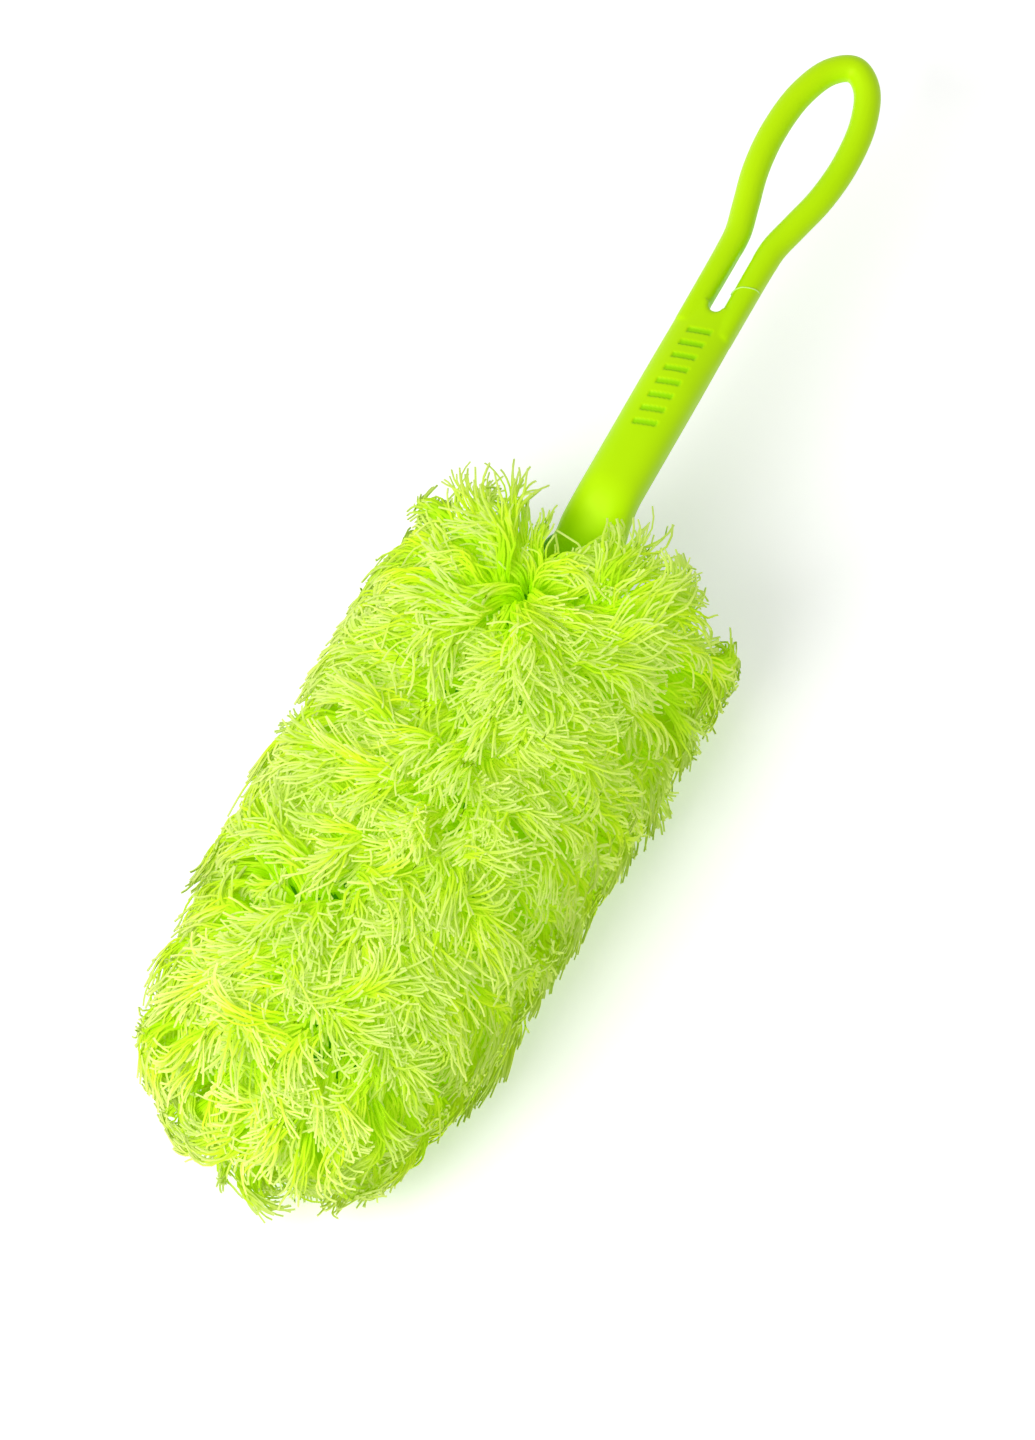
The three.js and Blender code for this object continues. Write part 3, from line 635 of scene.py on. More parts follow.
def steel_material():
    """Plated steel, turned: fine noise in its roughness."""
    material, tree, shader = new_material("screw_steel")
    grain = noise(tree, 900, 4)
    feed(shader, {
        "Base Color": mottled(tree, grain, (0.5, 0.51, 0.53), (0.66, 0.67, 0.69)),
        "Roughness": spread(tree, grain, 0.25, 0.42),
        "Normal": bump(tree, grain, 0.1, 0.05),
        "Metallic": 1.0,
    })
    return material


# Handle


def handle_x(place):
    """A place along the handle, counted from the slot's closed end, in the row frame."""
    return SLOT_X + place


def body_stations():
    """Grip, neck and foot as (x, z, slope, width, thickness, round share)."""
    stations = []
    for share in np.linspace(0, 1, 30):
        x = handle_x(lerp(SLOT_WIDTH / 2, -FORK_LENGTH, share))
        thickness = lerp(FORK_THICKNESS, GRIP_THICKNESS, smoothstep(share))
        stations.append((x, GRIP_Z, 0, GRIP_WIDTH, thickness, GRIP_ROUND))
    for place in np.linspace(-FORK_LENGTH, -GRIP_LENGTH, 14)[1:]:
        stations.append((handle_x(place), GRIP_Z, 0, GRIP_WIDTH, GRIP_THICKNESS, GRIP_ROUND))
    last = 2 * NECK_STEPS + 1
    for i in range(1, last + 1):
        share = i / last
        turn = NECK_ANGLE * min(i, last - i) / NECK_STEPS
        along, drop = NECK_BEND * math.sin(turn), NECK_BEND * (1 - math.cos(turn))
        if i <= NECK_STEPS:
            x, z = handle_x(-GRIP_LENGTH) - along, GRIP_Z - drop
        else:
            x, z = NECK_END_X + along, FOOT_Z + FOOT_THICKNESS / 2 + drop
        thickness = lerp(GRIP_THICKNESS, NECK_THICKNESS, smoothstep(2 * share))
        thickness = lerp(thickness, FOOT_THICKNESS, smoothstep(2 * share - 1))
        width = lerp(GRIP_WIDTH, FOOT_WIDTH, smoothstep(share))
        stations.append((x, z, turn, width, thickness, lerp(GRIP_ROUND, FOOT_ROUND, share)))
    for along, wide in FOOT_TAPER_SHARES:
        thickness = lerp(FOOT_THICKNESS, FOOT_TIP_THICKNESS, along)
        x = NECK_END_X - FOOT_LENGTH * along
        stations.append((x, FOOT_Z + thickness / 2, 0, FOOT_WIDTH * wide, thickness, FOOT_ROUND))
    return stations


def body_rings(sides=72):
    rings = []
    for x, z, slope, *size in body_stations():
        up = (-math.sin(slope), 0, math.cos(slope))
        rings.append(section((x, MIDDLE_Y, z), (0, -1, 0), up, *size, circle(sides)))
    return rings


def loop_line(count=400):
    """Centreline of the legs and the loop, from the left leg round to the right one."""
    reach = LOOP_LENGTH - LOOP_ROD / 2
    side = [(place, LEG_MIDDLE) for place in (-LEG_ROOT, LEG_ROOT, SLOT_LENGTH)]
    side += [(FORK_END + along * reach, out * LOOP_WIDTH / 2) for along, out in LOOP_SHARES]
    tip = [(FORK_END + reach, 0.0)]
    return catmull(np.array(side + tip + [(x, -y) for x, y in side[::-1]]), count)


def catmull(points, count, steps=60):
    """A centripetal spline through points, sampled at even distances."""
    gaps = np.linalg.norm(np.diff(points, axis=0), axis=1) ** 0.5
    times = np.cumsum(np.concatenate([[0], gaps[:1], gaps, gaps[-1:]]))
    control = np.vstack([2 * points[0] - points[1], points, 2 * points[-1] - points[-2]])

    def mix(a, b, low, high):
        return lerp(a, b, (t - times[low]) / (times[high] - times[low]))

    line = []
    for i in range(1, len(points)):
        for t in np.linspace(*times[i : i + 2], steps, endpoint=i == len(points) - 1):
            a = [mix(*control[k : k + 2], k, k + 1) for k in (i - 1, i, i + 1)]
            b = [mix(*a[k : k + 2], i - 1 + k, i + 1 + k) for k in (0, 1)]
            line.append(mix(*b, i, i + 1))
    line = np.array(line)
    lengths = np.concatenate([[0], np.cumsum(np.linalg.norm(np.diff(line, axis=0), axis=1))])
    even = np.linspace(0, lengths[-1], count)
    return np.stack([np.interp(even, lengths, line[:, k]) for k in range(2)], axis=1)


def leg_section(x):
    """Width, thickness and round share of a leg or of the loop's rod at x from the slot's end."""
    rod = float(smoothstep(x / (FORK_END + LOOP_ROD)))
    width = lerp(LEG_WIDTH, LOOP_ROD, rod)
    thickness = lerp(FORK_THICKNESS, LOOP_ROD, rod)
    return width, thickness, lerp(GRIP_ROUND, ROD_ROUND, rod)


def loop_rings(sides=40):
    line = loop_line()
    rings = []
    for (x, y), (tx, ty) in zip(line, unit(np.gradient(line, axis=0))):
        centre = (handle_x(x), MIDDLE_Y + y, GRIP_Z)
        rings.append(section(centre, (-ty, tx, 0), (0, 0, 1), *leg_section(x), circle(sides)))
    return rings


def slot_ring(height, grown, sides=32):
    """The slot's outline at a height over the grip's middle, made wider by grown."""
    radius = SLOT_WIDTH / 2
    reach = radius + grown
    arc = np.linspace(np.pi / 2, 3 * np.pi / 2, sides)
    outline = [(radius + reach * math.cos(a), reach * math.sin(a)) for a in arc]
    outline += [(SLOT_LENGTH, -reach), (SLOT_LENGTH, reach)]
    return [(handle_x(x), MIDDLE_Y + y, GRIP_Z + height) for x, y in outline]


def slot_tool(edge_steps=7):
    """The slot, with well rounded edges above and below."""
    face = FORK_THICKNESS / 2
    turns = np.linspace(0, np.pi / 2, edge_steps)
    edge = [(face - SLOT_EDGE * (1 - math.sin(t)), SLOT_EDGE * (1 - math.cos(t))) for t in turns]
    edge.append((2 * face, SLOT_EDGE + face))
    rings = [slot_ring(-height, grown) for height, grown in edge[::-1]]
    rings += [slot_ring(height, grown) for height, grown in edge]
    tool = loft("slot_tool", rings)
    fix_normals(tool)
    return tool


def press_marks(mesh):
    """A row of plain slanted dashes pressed into the grip. Says at each point how deep it is."""
    points, normals = vertex_arrays(mesh)
    along = points[:, 0] / MM - handle_x(DASH_START)
    across = points[:, 1] / MM - MIDDLE_Y
    slanted = along + across * DASH_SLANT
    phase = np.abs((slanted % DASH_PITCH) - DASH_PITCH / 2)
    inside = np.minimum(DASH_WIDTH / 2 - phase, DASH_LENGTH / 2 - np.abs(across))
    inside = np.minimum(inside, np.minimum(slanted, DASHES * DASH_PITCH - slanted))
    faces_up = normals[:, 2] > 0.3
    pressed = fade(inside, -DASH_SOFT / 2, DASH_SOFT / 2) * faces_up
    push_in(mesh, DASH_DEPTH * pressed)
    mark_points(mesh, "pressed", pressed)


def build_mould_line(steps=15):
    """The fine raised line that the mould leaves across one leg, paler as a painted highlight on
    it.
    """
    path = []
    for share in np.linspace(0, 1, steps):
        x = MOULD_LINE_X + MOULD_LINE_RUN * math.sin(share * math.pi / 2)
        centre = (handle_x(x), MIDDLE_Y - LEG_MIDDLE, GRIP_Z)
        angle = math.radians(lerp(*MOULD_LINE_ARC, share))
        path.append(section(centre, (0, 1, 0), (0, 0, 1), *leg_section(x), [angle])[0])
    # Painted highlight: the ridge is paler than the lime plastic round it
    pale = plastic_material("lime_mould_line_painted_highlight", (0.62, 0.95, 0.25), (0.7, 1.0, 0.35), 0.4)
    piece = thread_mesh("mould_line", np.array([path]), MOULD_LINE_RADIUS, pale)
    place_piece(piece, "handle")


def build_handle():
    """Grip, fork, loop, neck and foot as one moulding, flat under the foot."""
    parts = [loft("handle_body", body_rings()), loft("handle_loop", loop_rings())]
    piece = join(parts, "duster_handle")
    modify(piece, "REMESH", mode="VOXEL", voxel_size=HANDLE_VOXEL * MM)
    cut(piece, slot_tool())
    under = (NECK_END_X - FOOT_LENGTH - UNDER_CUT_SPARE, handle_x(-GRIP_LENGTH))
    cut(piece, box_tool(under, GRIP_WIDTH, FOOT_Z - UNDER_CUT_DEPTH, FOOT_Z))
    modify(piece, "REMESH", mode="VOXEL", voxel_size=HANDLE_VOXEL * MM)
    modify(piece, "SMOOTH", factor=0.5, iterations=HANDLE_RELAX)
    press_marks(piece.data)
    piece.data.shade_smooth()
    lime = plastic_material("lime_plastic", (0.47, 0.83, 0.0), (0.53, 0.88, 0.001), 0.42)
    # Painted shade in the pressed dashes: a deeper green where they are pressed in
    shade_pressed_marks(lime, (0.31, 0.73, 0.0))
    piece.data.materials.append(lime)
    place_piece(piece, "handle", "handle")
    build_mould_line()


def build_blade():
    """The CAD blade and screws keep their shape and get their plastic and steel. The blade's
    plastic is a deeper green than the handle's, and darker still as painted shade under the
    handle.
    """
    # Painted shade: the blade's green is darkened for the shadow that the handle casts on its
    # rear
    plastic = plastic_material("blade_plastic", (0.1, 0.42, 0.001), (0.14, 0.5, 0.003), 0.4)
    steel = steel_material()
    for name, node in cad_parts.items():
        if name.startswith("blade"):
            node.data.materials.clear()
            node.data.materials.append(steel if "screw" in name else plastic)


# Sleeve


def layer_section(layer, x):
    """Half side, top, bottom and round share of a layer at x."""
    gather = fade(x, MOUTH_X, MOUTH_X - GATHER)
    share = np.clip((TIP_START_X - x) / (TIP_START_X - layer.tip), 0, 0.99999)
    tip_round = POCKET_TIP_ROUND if layer.round == POCKET_ROUND else SLEEVE_TIP_ROUND
    shrink = (1 - share ** (2 / tip_round)) ** (tip_round / 2)
    side, top, bottom = (
        lerp(mouth + layer.mouth_out, body + layer.body_out, gather) * shrink
        for mouth, body in zip(POCKET_MOUTH, layer.body)
    )
    return side, top, bottom, lerp(POCKET_ROUND, layer.round, gather)


def section_ring(x, size, angles):
    side, top, bottom, round_share = size
    centre = (x, MIDDLE_Y, BLADE_Z + (top - bottom) / 2)
    return section(centre, (0, -1, 0), (0, 0, 1), 2 * side, top + bottom, round_share, angles)


def layer_grid(layer, rows=90, sides=96, start=MOUTH_X, end=0.999):
    """Points of a layer's surface, rows from its open end to the tip."""
    body = start - TIP_START_X
    tip_run = TIP_START_X - layer.tip
    arc = TIP_ARC * tip_run
    distance = np.linspace(0, end, rows) * (body + arc)
    turn = np.clip((distance - body) / arc, 0, 1) * np.pi / 2
    x = np.where(distance < body, start - distance, TIP_START_X - tip_run * np.sin(turn))
    return np.array([section_ring(xi, layer_section(layer, xi), circle(sides)) for xi in x])


def layer_shell(name, inner, outer, start=MOUTH_X):
    """A closed shell between two layers, open at the mouth."""
    inside, outside = layer_grid(inner, start=start), layer_grid(outer, start=start)
    piece = loft(name, np.concatenate([inside[::-1], outside]))
    fix_normals(piece)
    return piece


def build_backing():
    """The woven backing that the strands are sewn to, closed at the tip and open at the mouth."""
    piece = layer_shell("sleeve_backing", BACKING_INNER, BACKING_OUTER)
    cloth = cloth_material("backing_cloth", (0.12, 0.42, 0.003), (0.2, 0.55, 0.005), 900)
    finish_piece(piece, "sleeve", cloth)


def build_lining():
    """The cloth pocket that the blade slides into."""
    piece = layer_shell("lining_pocket", POCKET, LINING_OUTER)
    cloth = cloth_material("lining_cloth", (0.5, 0.78, 0.18), (0.62, 0.86, 0.3), 700)
    finish_piece(piece, "sleeve", cloth, "lining")


def build_padding():
    """Two wads of fibre fill between the lining and the backing, with a soft uneven surface."""
    reach = 2 * BODY_SIDE
    ends = (SLEEVE_TIP_X - GATHER, MOUTH_X + GATHER)
    wadding = wadding_material()
    lumps = smooth_noise(np.random.default_rng(SEED), PAD_LUMP_WAVE)
    for name, node, cut_low, cut_high in (
        ("wadding_top", "padding_top", BLADE_Z - reach, BLADE_Z + SEAM_GAP / 2),
        ("wadding_bottom", "padding_bottom", BLADE_Z - SEAM_GAP / 2, BLADE_Z + reach),
    ):
        piece = layer_shell(name, PAD_INNER, PAD_OUTER, MOUTH_X - PAD_INSET)
        points, _ = vertex_arrays(piece.data)
        push_in(piece.data, PAD_LUMP * np.clip(0.5 + 0.5 * lumps(points / MM), 0, 1))
        cut(piece, box_tool(ends, reach, cut_low, cut_high))
        finish_piece(piece, "sleeve", wadding, node)


def mouth_ring(x, out, angles, ripple=0.0):
    """A ring round the pocket's mouth, out from it, with the small folds of a gathered hem."""
    side, top, bottom = (size + out for size in POCKET_MOUTH)
    ring = section_ring(x, (side, top, bottom, POCKET_ROUND), angles)
    away = unit((ring - [0, MIDDLE_Y, BLADE_Z]) * [0, 1, 1])
    return ring + away * (ripple * np.sin(FOLDS * angles + 0.6 * np.sin(7 * angles)))[:, None]


def band(name, profile, sides=360):
    """A closed ring round the mouth with a closed profile of (x, out, ripple)."""
    rings = [mouth_ring(x, out, circle(sides), ripple) for x, out, ripple in profile]
    piece = loft(name, rings + rings[:1], closed_ends=False)
    fix_normals(piece, merge=True)
    return piece


def build_binding():
    """Ribbed tape folded over the mouth's elastic, with its line of stitches."""
    rear, front = mouth_low[0], mouth_high[0]
    outside = BINDING_THICKNESS
    floor_x = front - (elastic_high[0] - elastic_low[0]) - 2 * FIT_GAP
    soft, crown = 0.25, 1.6
    piece = band("binding_tape", [
        (rear, soft, 0), (rear + soft, 0, 0), (front - soft, 0, 0), (front, soft, 0),
        (front - soft, TAPE, 0), (floor_x, TAPE, 0), (floor_x, outside - TAPE, 0),
        (front - soft, outside - TAPE, 0.06), (front, outside - soft, 0.08),
        (front - 2 * soft, outside, 0.12), (front - crown, outside + 0.05, 0.18),
        (rear + crown, outside - 0.1, 0.1), (rear + soft, outside - 0.1, 0.05),
        (rear, outside - 2 * soft, 0),
    ])
    tape = ribbed_material("binding_tape", (0.3, 0.68, 0.01), (0.42, 0.8, 0.03), 420, 0.8)
    finish_piece(piece, "sleeve", tape, "mouth_binding", 35)
    build_stitches(rear + STITCH_IN, outside)


def build_stitches(x, out, steps=6):
    """Short stitches round the tape, each a small thread that dips in at both ends."""
    length = STITCH_SHARE * 2 * np.pi / STITCHES
    lines = []
    for share in np.arange(steps + 1) / steps:
        lift = STITCH_LIFT * math.sin(math.pi * share) - STITCH_SUNK
        lines.append(mouth_ring(x, out + lift, circle(STITCHES) + length * share))
    thread = ribbed_material("sewing_thread", (0.55, 0.85, 0.1), (0.7, 0.95, 0.25), 900, 0.7)
    piece = thread_mesh("binding_stitches", np.stack(lines, axis=1), THREAD_RADIUS, thread)
    place_piece(piece, "sleeve")


def build_elastic():
    """The flat woven elastic in the tape's fold."""
    rear, front = elastic_low[0], elastic_high[0]
    inside, outside = ELASTIC_IN, ELASTIC_IN + ELASTIC_THICKNESS
    soft, ripple = 0.3, 0.05
    piece = band("mouth_elastic_band", [
        (rear, inside + soft, 0), (rear + soft, inside, ripple),
        (front - soft, inside, ripple), (front, inside + soft, 0),
        (front, outside - soft, 0), (front - soft, outside, ripple),
        (rear + soft, outside, ripple), (rear, outside - soft, 0),
    ])
    weave = ribbed_material("woven_elastic", (0.72, 0.76, 0.62), (0.86, 0.89, 0.78), 700, 0.75)
    finish_piece(piece, "sleeve", weave, "mouth_elastic", 60)


# Pile: where its locks stand


def sample_surface(grid, count, random):
    """Random points and outward directions, spread by area over a grid of points."""
    corner = grid[:-1]
    across = np.roll(grid, -1, axis=1)[:-1] - corner
    down = grid[1:] - corner
    normal = np.cross(across, down)
    area = np.linalg.norm(normal, axis=2)
    cells = random.choice(area.size, size=count, p=area.ravel() / area.sum())
    at = np.unravel_index(cells, area.shape)
    s, t = random.random((2, count, 1))
    return corner[at] + across[at] * s + down[at] * t, normal[at] / area[at][:, None]


def thin_out(points, gap):
    """Indices of points that lie at least gap apart, taken in order."""
    cells = {}
    kept = []
    for index, point in enumerate(points):
        x, y, z = (point // gap).astype(int)
        near = (cells.get((x + i, y + j, z + k), ()) for i, j, k in product((-1, 0, 1), repeat=3))
        if all(np.sum((points[o] - point) ** 2) >= gap * gap for group in near for o in group):
            cells.setdefault((x, y, z), []).append(index)
            kept.append(index)
    return np.array(kept)


# Roots and outward directions, middles of the tufts, and each lock's tuft and distance from it
Locks = namedtuple("Locks", "roots normals tufts tuft off_tuft")


def plant_locks(random):
    """Locks over the backing, closer at the mouth's rim, in tufts."""
    grid = layer_grid(BACKING_OUTER, rows=160, sides=200, end=1.0)
    points, normals = sample_surface(grid, SURFACE_SAMPLES, random)
    rim = points[:, 0] > MOUTH_X - RIM_DEPTH
    chosen = np.concatenate([
        np.flatnonzero(part)[thin_out(points[part], gap)]
        for part, gap in ((rim, RIM_LOCK_GAP), (~rim, LOCK_GAP))
    ])
    roots = points[chosen]
    tufts = roots[thin_out(roots, TUFT_GAP)]
    away = np.linalg.norm(roots[:, None] - tufts[None], axis=2)
    off_tuft = np.min(away, axis=1) / TUFT_GAP
    return Locks(roots, normals[chosen], tufts, np.argmin(away, axis=1), off_tuft)


# Pile: how it lies and where it ends


def surface_tree():
    """The backing's outside, to ask how high above it a point lies."""
    grid = layer_grid(BACKING_OUTER)
    rows, sides = grid.shape[:2]
    faces = skin(rows, sides) + [tuple(range((rows - 1) * sides, rows * sides))]
    return BVHTree.FromPolygons(grid.reshape(-1, 3).tolist(), faces)


def heights(tree, points, last, least=1.0):
    """Height over the backing and the way out from it: the last one for points that are close."""
    height = np.empty(len(points))
    out = last.copy()
    for i, point in enumerate(points):
        near, _, _, height[i] = tree.find_nearest(point)
        if height[i] > least:
            out[i] = point - near
    return height, unit(out)


def pile_height(out):
    """How far the trimmed pile reaches: most on top, least where the head lies on the table."""
    up = out[:, 2]
    return lerp(PILE_SIDE, np.where(up > 0, PILE_TOP, PILE_UNDER), np.clip(np.abs(up), 0, 1))


def trim(points, out):
    """Shares of the pile's height: slimmer beside the tip, most on the left, and fuller at the
    tip's end, round the mouth and to the right of the neck."""
    along = (points[:, 0] - SLEEVE_TIP_X) / (MOUTH_X - SLEEVE_TIP_X)
    right = -out[:, 1]
    near_tip = fade(along, 0.45, 0.15)
    near_neck = fade(along, 0.6, 0.9)
    near_mouth = fade(points[:, 0] - MOUTH_X, -14, 6)
    faces_tip = smoothstep(-1.4 * out[:, 0] - 0.2)
    slim = 0.06 + np.where(right > 0, 0.2, 0.4) * np.abs(right)
    full = (0.16 - 0.12 * right) * faces_tip
    return 1 + near_tip * (full - slim) + 0.03 * right * near_neck + 0.3 * near_mouth


def forward_share(roots):
    """How far the pile at its roots is combed up the neck, rather than down to the tip: most
    beside the neck's foot, less at the sleeve's sides, and least on the left."""
    offset = roots[:, 1] - MIDDLE_Y
    beside = 0.9 * fade(np.abs(offset), 3, 15)
    beside *= 1 - np.where(offset > 0, 0.32, 0.12) * fade(np.abs(offset), 19, 28)
    return fade(roots[:, 0] - MOUTH_X, -40, -2) * np.maximum(beside, 0.56)


def flow(points, out, turn, forward):
    """The way that the pile lies: round the neck at the mouth, down to the tip elsewhere."""
    across = (points[:, 1] - MIDDLE_Y) / BODY_SIDE
    near_tip = fade(points[:, 0] - SLEEVE_TIP_X, 70, 10)
    lean = 0.38 * (1 - forward) * (1 - 0.75 * near_tip) * (1 - smoothstep(across))
    way = np.empty_like(points)
    way[:, 0] = lerp(-1.0, 1.0, forward)
    way[:, 1] = across * lerp(0.85, 0.66, forward) - lean
    way[:, 2] = -0.2
    side = np.cross(out, way)
    turn = turn * (1 - 0.35 * forward)
    way = way * np.cos(turn)[:, None] + side * np.sin(turn)[:, None]
    return unit(way - out * np.sum(way * out, axis=1)[:, None])


def soft_stop(beyond, reach):
    """What is left of a length beyond a limit, so that it never passes reach."""
    return reach * (1 - np.exp(-beyond / reach))


def trim_outline(points):
    """Draws in what stands out past the head's outline."""
    middle = np.clip(points[:, 0], TRIM_TIP_X, TRIM_NECK_X)
    share = (middle - TRIM_TIP_X) / (TRIM_NECK_X - TRIM_TIP_X)
    away = points[:, :2] - np.stack([middle, np.full(len(points), MIDDLE_Y)], axis=1)
    tip_reach = lerp(*TRIM_TIP_REACH, fade(away[:, 1], 5, 35))
    long = np.where(away[:, 0] > 0, TRIM_NECK_REACH, tip_reach)
    wide = np.where(away[:, 1] > 0, lerp(*TRIM_LEFT, share), lerp(*TRIM_RIGHT, share))
    tall = np.maximum(points[:, 2] - BLADE_Z, 0) / TRIM_HEIGHT
    q = np.sqrt((away[:, 0] / long) ** 2 + (away[:, 1] / wide) ** 2 + tall**2)
    beyond = np.maximum(q - 1, 0)
    kept = (1 + soft_stop(beyond, TRIM_EDGE)) / (1 + beyond)
    points[:, :2] -= away * (1 - kept)[:, None]


def neck_profile():
    """Arrays of x, centre z, half width and half height of the neck and foot, x growing."""
    rows = [
        (x, z, width / 2, thickness / 2 / math.cos(slope))
        for x, z, slope, width, thickness, _ in body_stations()
    ]
    return np.array(sorted(rows)).T


NECK = neck_profile()


def clear_neck(points):
    """Parts the pile before the neck, and moves points out of the neck and foot."""
    xs, zs, half_widths, half_heights = NECK
    x = points[:, 0]
    dy = points[:, 1] - MIDDLE_Y
    clear = PARTING * fade(x - MOUTH_X, 2, 14)
    parted = np.sign(dy) * lerp(np.abs(dy), clear, PARTING_HOLD)
    dy = np.where(np.abs(dy) < clear, parted, dy)
    points[:, 1] = MIDDLE_Y + dy
    dz = points[:, 2] - np.interp(x, xs, zs)
    wide = np.interp(x, xs, half_widths) + NECK_CLEARANCE
    high = np.interp(x, xs, half_heights) + NECK_CLEARANCE
    q = np.sqrt((dy / wide) ** 2 + (dz / high) ** 2)
    inside = (x > MOUTH_X - 2) & (x < handle_x(0)) & (q < 1)
    push = np.where(inside, 1 / np.maximum(q, 0.05), 1) - 1
    points[:, 1] += dy * push
    points[:, 2] += dz * push


def clear_blade(points):
    """Moves points out of the blade's rear, up or down."""
    x, dy, dz = points[:, 0], points[:, 1] - MIDDLE_Y, points[:, 2] - BLADE_Z
    rear = (x > MOUTH_X - 2) & (x < blade_high[0] + 1)
    inside = rear & (np.abs(dy) < BLADE_REAR_WIDTH / 2 + 1) & (np.abs(dz) < BLADE_CLEARANCE)
    moved = BLADE_Z + np.where(dz >= 0, BLADE_CLEARANCE, -BLADE_CLEARANCE)
    points[:, 2] = np.where(inside, moved, points[:, 2])


def keep_off(points, lowest):
    """Keeps points over the table, inside the head's outline and out of neck, foot and blade."""
    points[:, 2] = np.maximum(points[:, 2], lowest)
    above = np.maximum(points[:, 2] - TRIM_Z, 0)
    points[:, 2] -= above - soft_stop(above, TRIM_SOFT)
    trim_outline(points)
    clear_neck(points)
    clear_blade(points)


def soften(paths, times):
    """Takes kinks out of curves, whose ends stay."""
    for _ in range(times):
        paths[:, 1:-1] = (paths[:, :-2] + 2 * paths[:, 1:-1] + paths[:, 2:]) / 4


# Pile: its locks and strands


def lock_turns(random, locks):
    """How far each lock lies off the flow: by tuft and by fields, less near the mouth."""
    broad, fine = smooth_noise(random, BROAD_WAVE), smooth_noise(random, FINE_WAVE)
    inner = 1 - 0.7 * fade(locks.roots[:, 0] - MOUTH_X, -22, -10)
    turn = inner * random.normal(0, TUFT_TURN, len(locks.tufts))[locks.tuft]
    turn += random.normal(0, LOCK_TURN, len(locks.roots))
    return turn + inner * (BROAD_TURN * broad(locks.roots) + FINE_TURN * fine(locks.roots))


def lock_sizes(random, locks):
    """Each lock's share of the pile's height, and its length: short before the neck, where it
    would cross it, and long beside it."""
    count = len(locks.roots)
    from_mouth, up = locks.roots[:, 0] - MOUTH_X, locks.normals[:, 2]
    relief = 1 + RELIEF * smooth_noise(random, RELIEF_WAVE)(locks.roots)
    layer = (1 - LAYER_DEPTH * random.random(count) ** 1.4) * np.clip(relief, *RELIEF_LIMITS)
    layer *= random.normal(*TUFT_HEIGHT, len(locks.tufts))[locks.tuft]
    layer -= (TUFT_EDGE + TUFT_EDGE_ON_TOP * np.maximum(up, 0)) * locks.off_tuft**2
    before_neck = 1 - fade(np.abs(locks.roots[:, 1] - MIDDLE_Y), 9, 16)
    before_neck *= fade(from_mouth, -18, -10) * (up > 0)
    layer *= 1 - before_neck * random.uniform(*NECK_LOSS, count)
    rim = fade(from_mouth, -26, -6) * (1 - before_neck)
    length = pile_height(locks.normals) * layer * random.normal(*LENGTH_SHARE, count)
    return layer, length * (1 + RIM_LENGTH * rim) + ROOT_LENGTH


def grow_guides(random, locks):
    """One curve for each lock, grown step by step: up through the pile, then over and down."""
    tree = surface_tree()
    count = len(locks.roots)
    turn = lock_turns(random, locks)
    forward = forward_share(locks.roots)
    layer, length = lock_sizes(random, locks)
    bow = random.normal(0, BOW, count)
    lowest = random.uniform(*LOCK_LOWEST, count)
    step = GUIDE_SPARE * length / GUIDE_STEPS
    guides = np.empty((count, GUIDE_STEPS + 1, 3))
    outs = np.empty_like(guides)
    out = heading = locks.normals
    points = locks.roots - out
    guides[:, 0], outs[:, 0] = points, out
    points = points + out * ROOT_RISE
    for j in range(1, GUIDE_STEPS + 1):
        height, out = heights(tree, points, out)
        share = j / GUIDE_STEPS
        rise = 1 - height / (pile_height(out) * layer * trim(points, out))
        rise = np.where(rise > 0, np.abs(rise) ** 0.8, 1.5 * rise)
        along = (1.05 - np.clip(rise, 0, 1)) * lerp(0.2, 1, share)
        turn = turn + bow
        way = out * rise[:, None] + flow(points, out, turn, forward) * along[:, None]
        way[:, 2] -= DROOP * share
        heading = unit(heading * HOLD + unit(way))
        points = points + heading * step[:, None]
        keep_off(points, lowest)
        guides[:, j], outs[:, j] = points, out
    pull = np.linspace(0, 1, GUIDE_STEPS + 1)[None, :, None] ** 1.5 * TUFT_PULL
    guides += (locks.tufts[locks.tuft] - locks.roots)[:, None, :] * pull
    soften(guides, 2)
    return guides, outs


def strand_paths(random):
    """Strands that follow their lock's curve side by side and fan out a little at the cut end:
    their points, the way out at each point, and each strand's lock."""
    locks = plant_locks(random)
    guides, outs = grow_guides(random, locks)
    lock_count = len(locks.roots)
    lock = np.repeat(np.arange(lock_count), STRANDS_PER_LOCK)
    one_each = (len(lock), 1)
    tangents = unit(np.gradient(guides, axis=1))
    side = unit(np.cross(tangents, outs))
    over = np.cross(side, tangents)
    reach = np.clip(random.normal(1, REACH_SPREAD, one_each), *REACH_LIMITS) / GUIDE_SPARE
    place_side, place_over = random.uniform(-1, 1, (2, *one_each))
    fan = random.uniform(*LOCK_FAN, (lock_count, 1))[lock]
    drift_side = random.normal(0, DRIFT_SIDE, one_each)
    drift_over = random.normal(0, DRIFT_OVER, one_each)
    lowest = random.uniform(*STRAND_LOWEST, len(lock))
    share = np.linspace(0, 1, STRAND_STEPS + 1)
    station = share * reach * GUIDE_STEPS
    low = np.minimum(station.astype(int), GUIDE_STEPS - 1)
    rest = (station - low)[:, :, None]

    def at(values):
        return lerp(values[lock[:, None], low], values[lock[:, None], low + 1], rest)

    sideways = place_side * lerp(LOCK_SIDE, fan, share**1.3) + drift_side * share**1.6
    upward = place_over * lerp(LOCK_OVER, LOCK_OVER_END, share) + drift_over * share**2
    paths = at(guides) + at(side) * sideways[:, :, None] + at(over) * upward[:, :, None]
    outward = at(outs)
    curls = random.normal(0, LOCK_CURL, (2, lock_count))[:, lock]
    curls += random.normal(0, STRAND_CURL, (2, len(lock)))
    paths = crinkle(paths, outward, curls, lock, random)
    for j in range(STRAND_STEPS + 1):
        keep_off(paths[:, j], lowest)
    soften(paths, 1)
    return paths, outward, lock


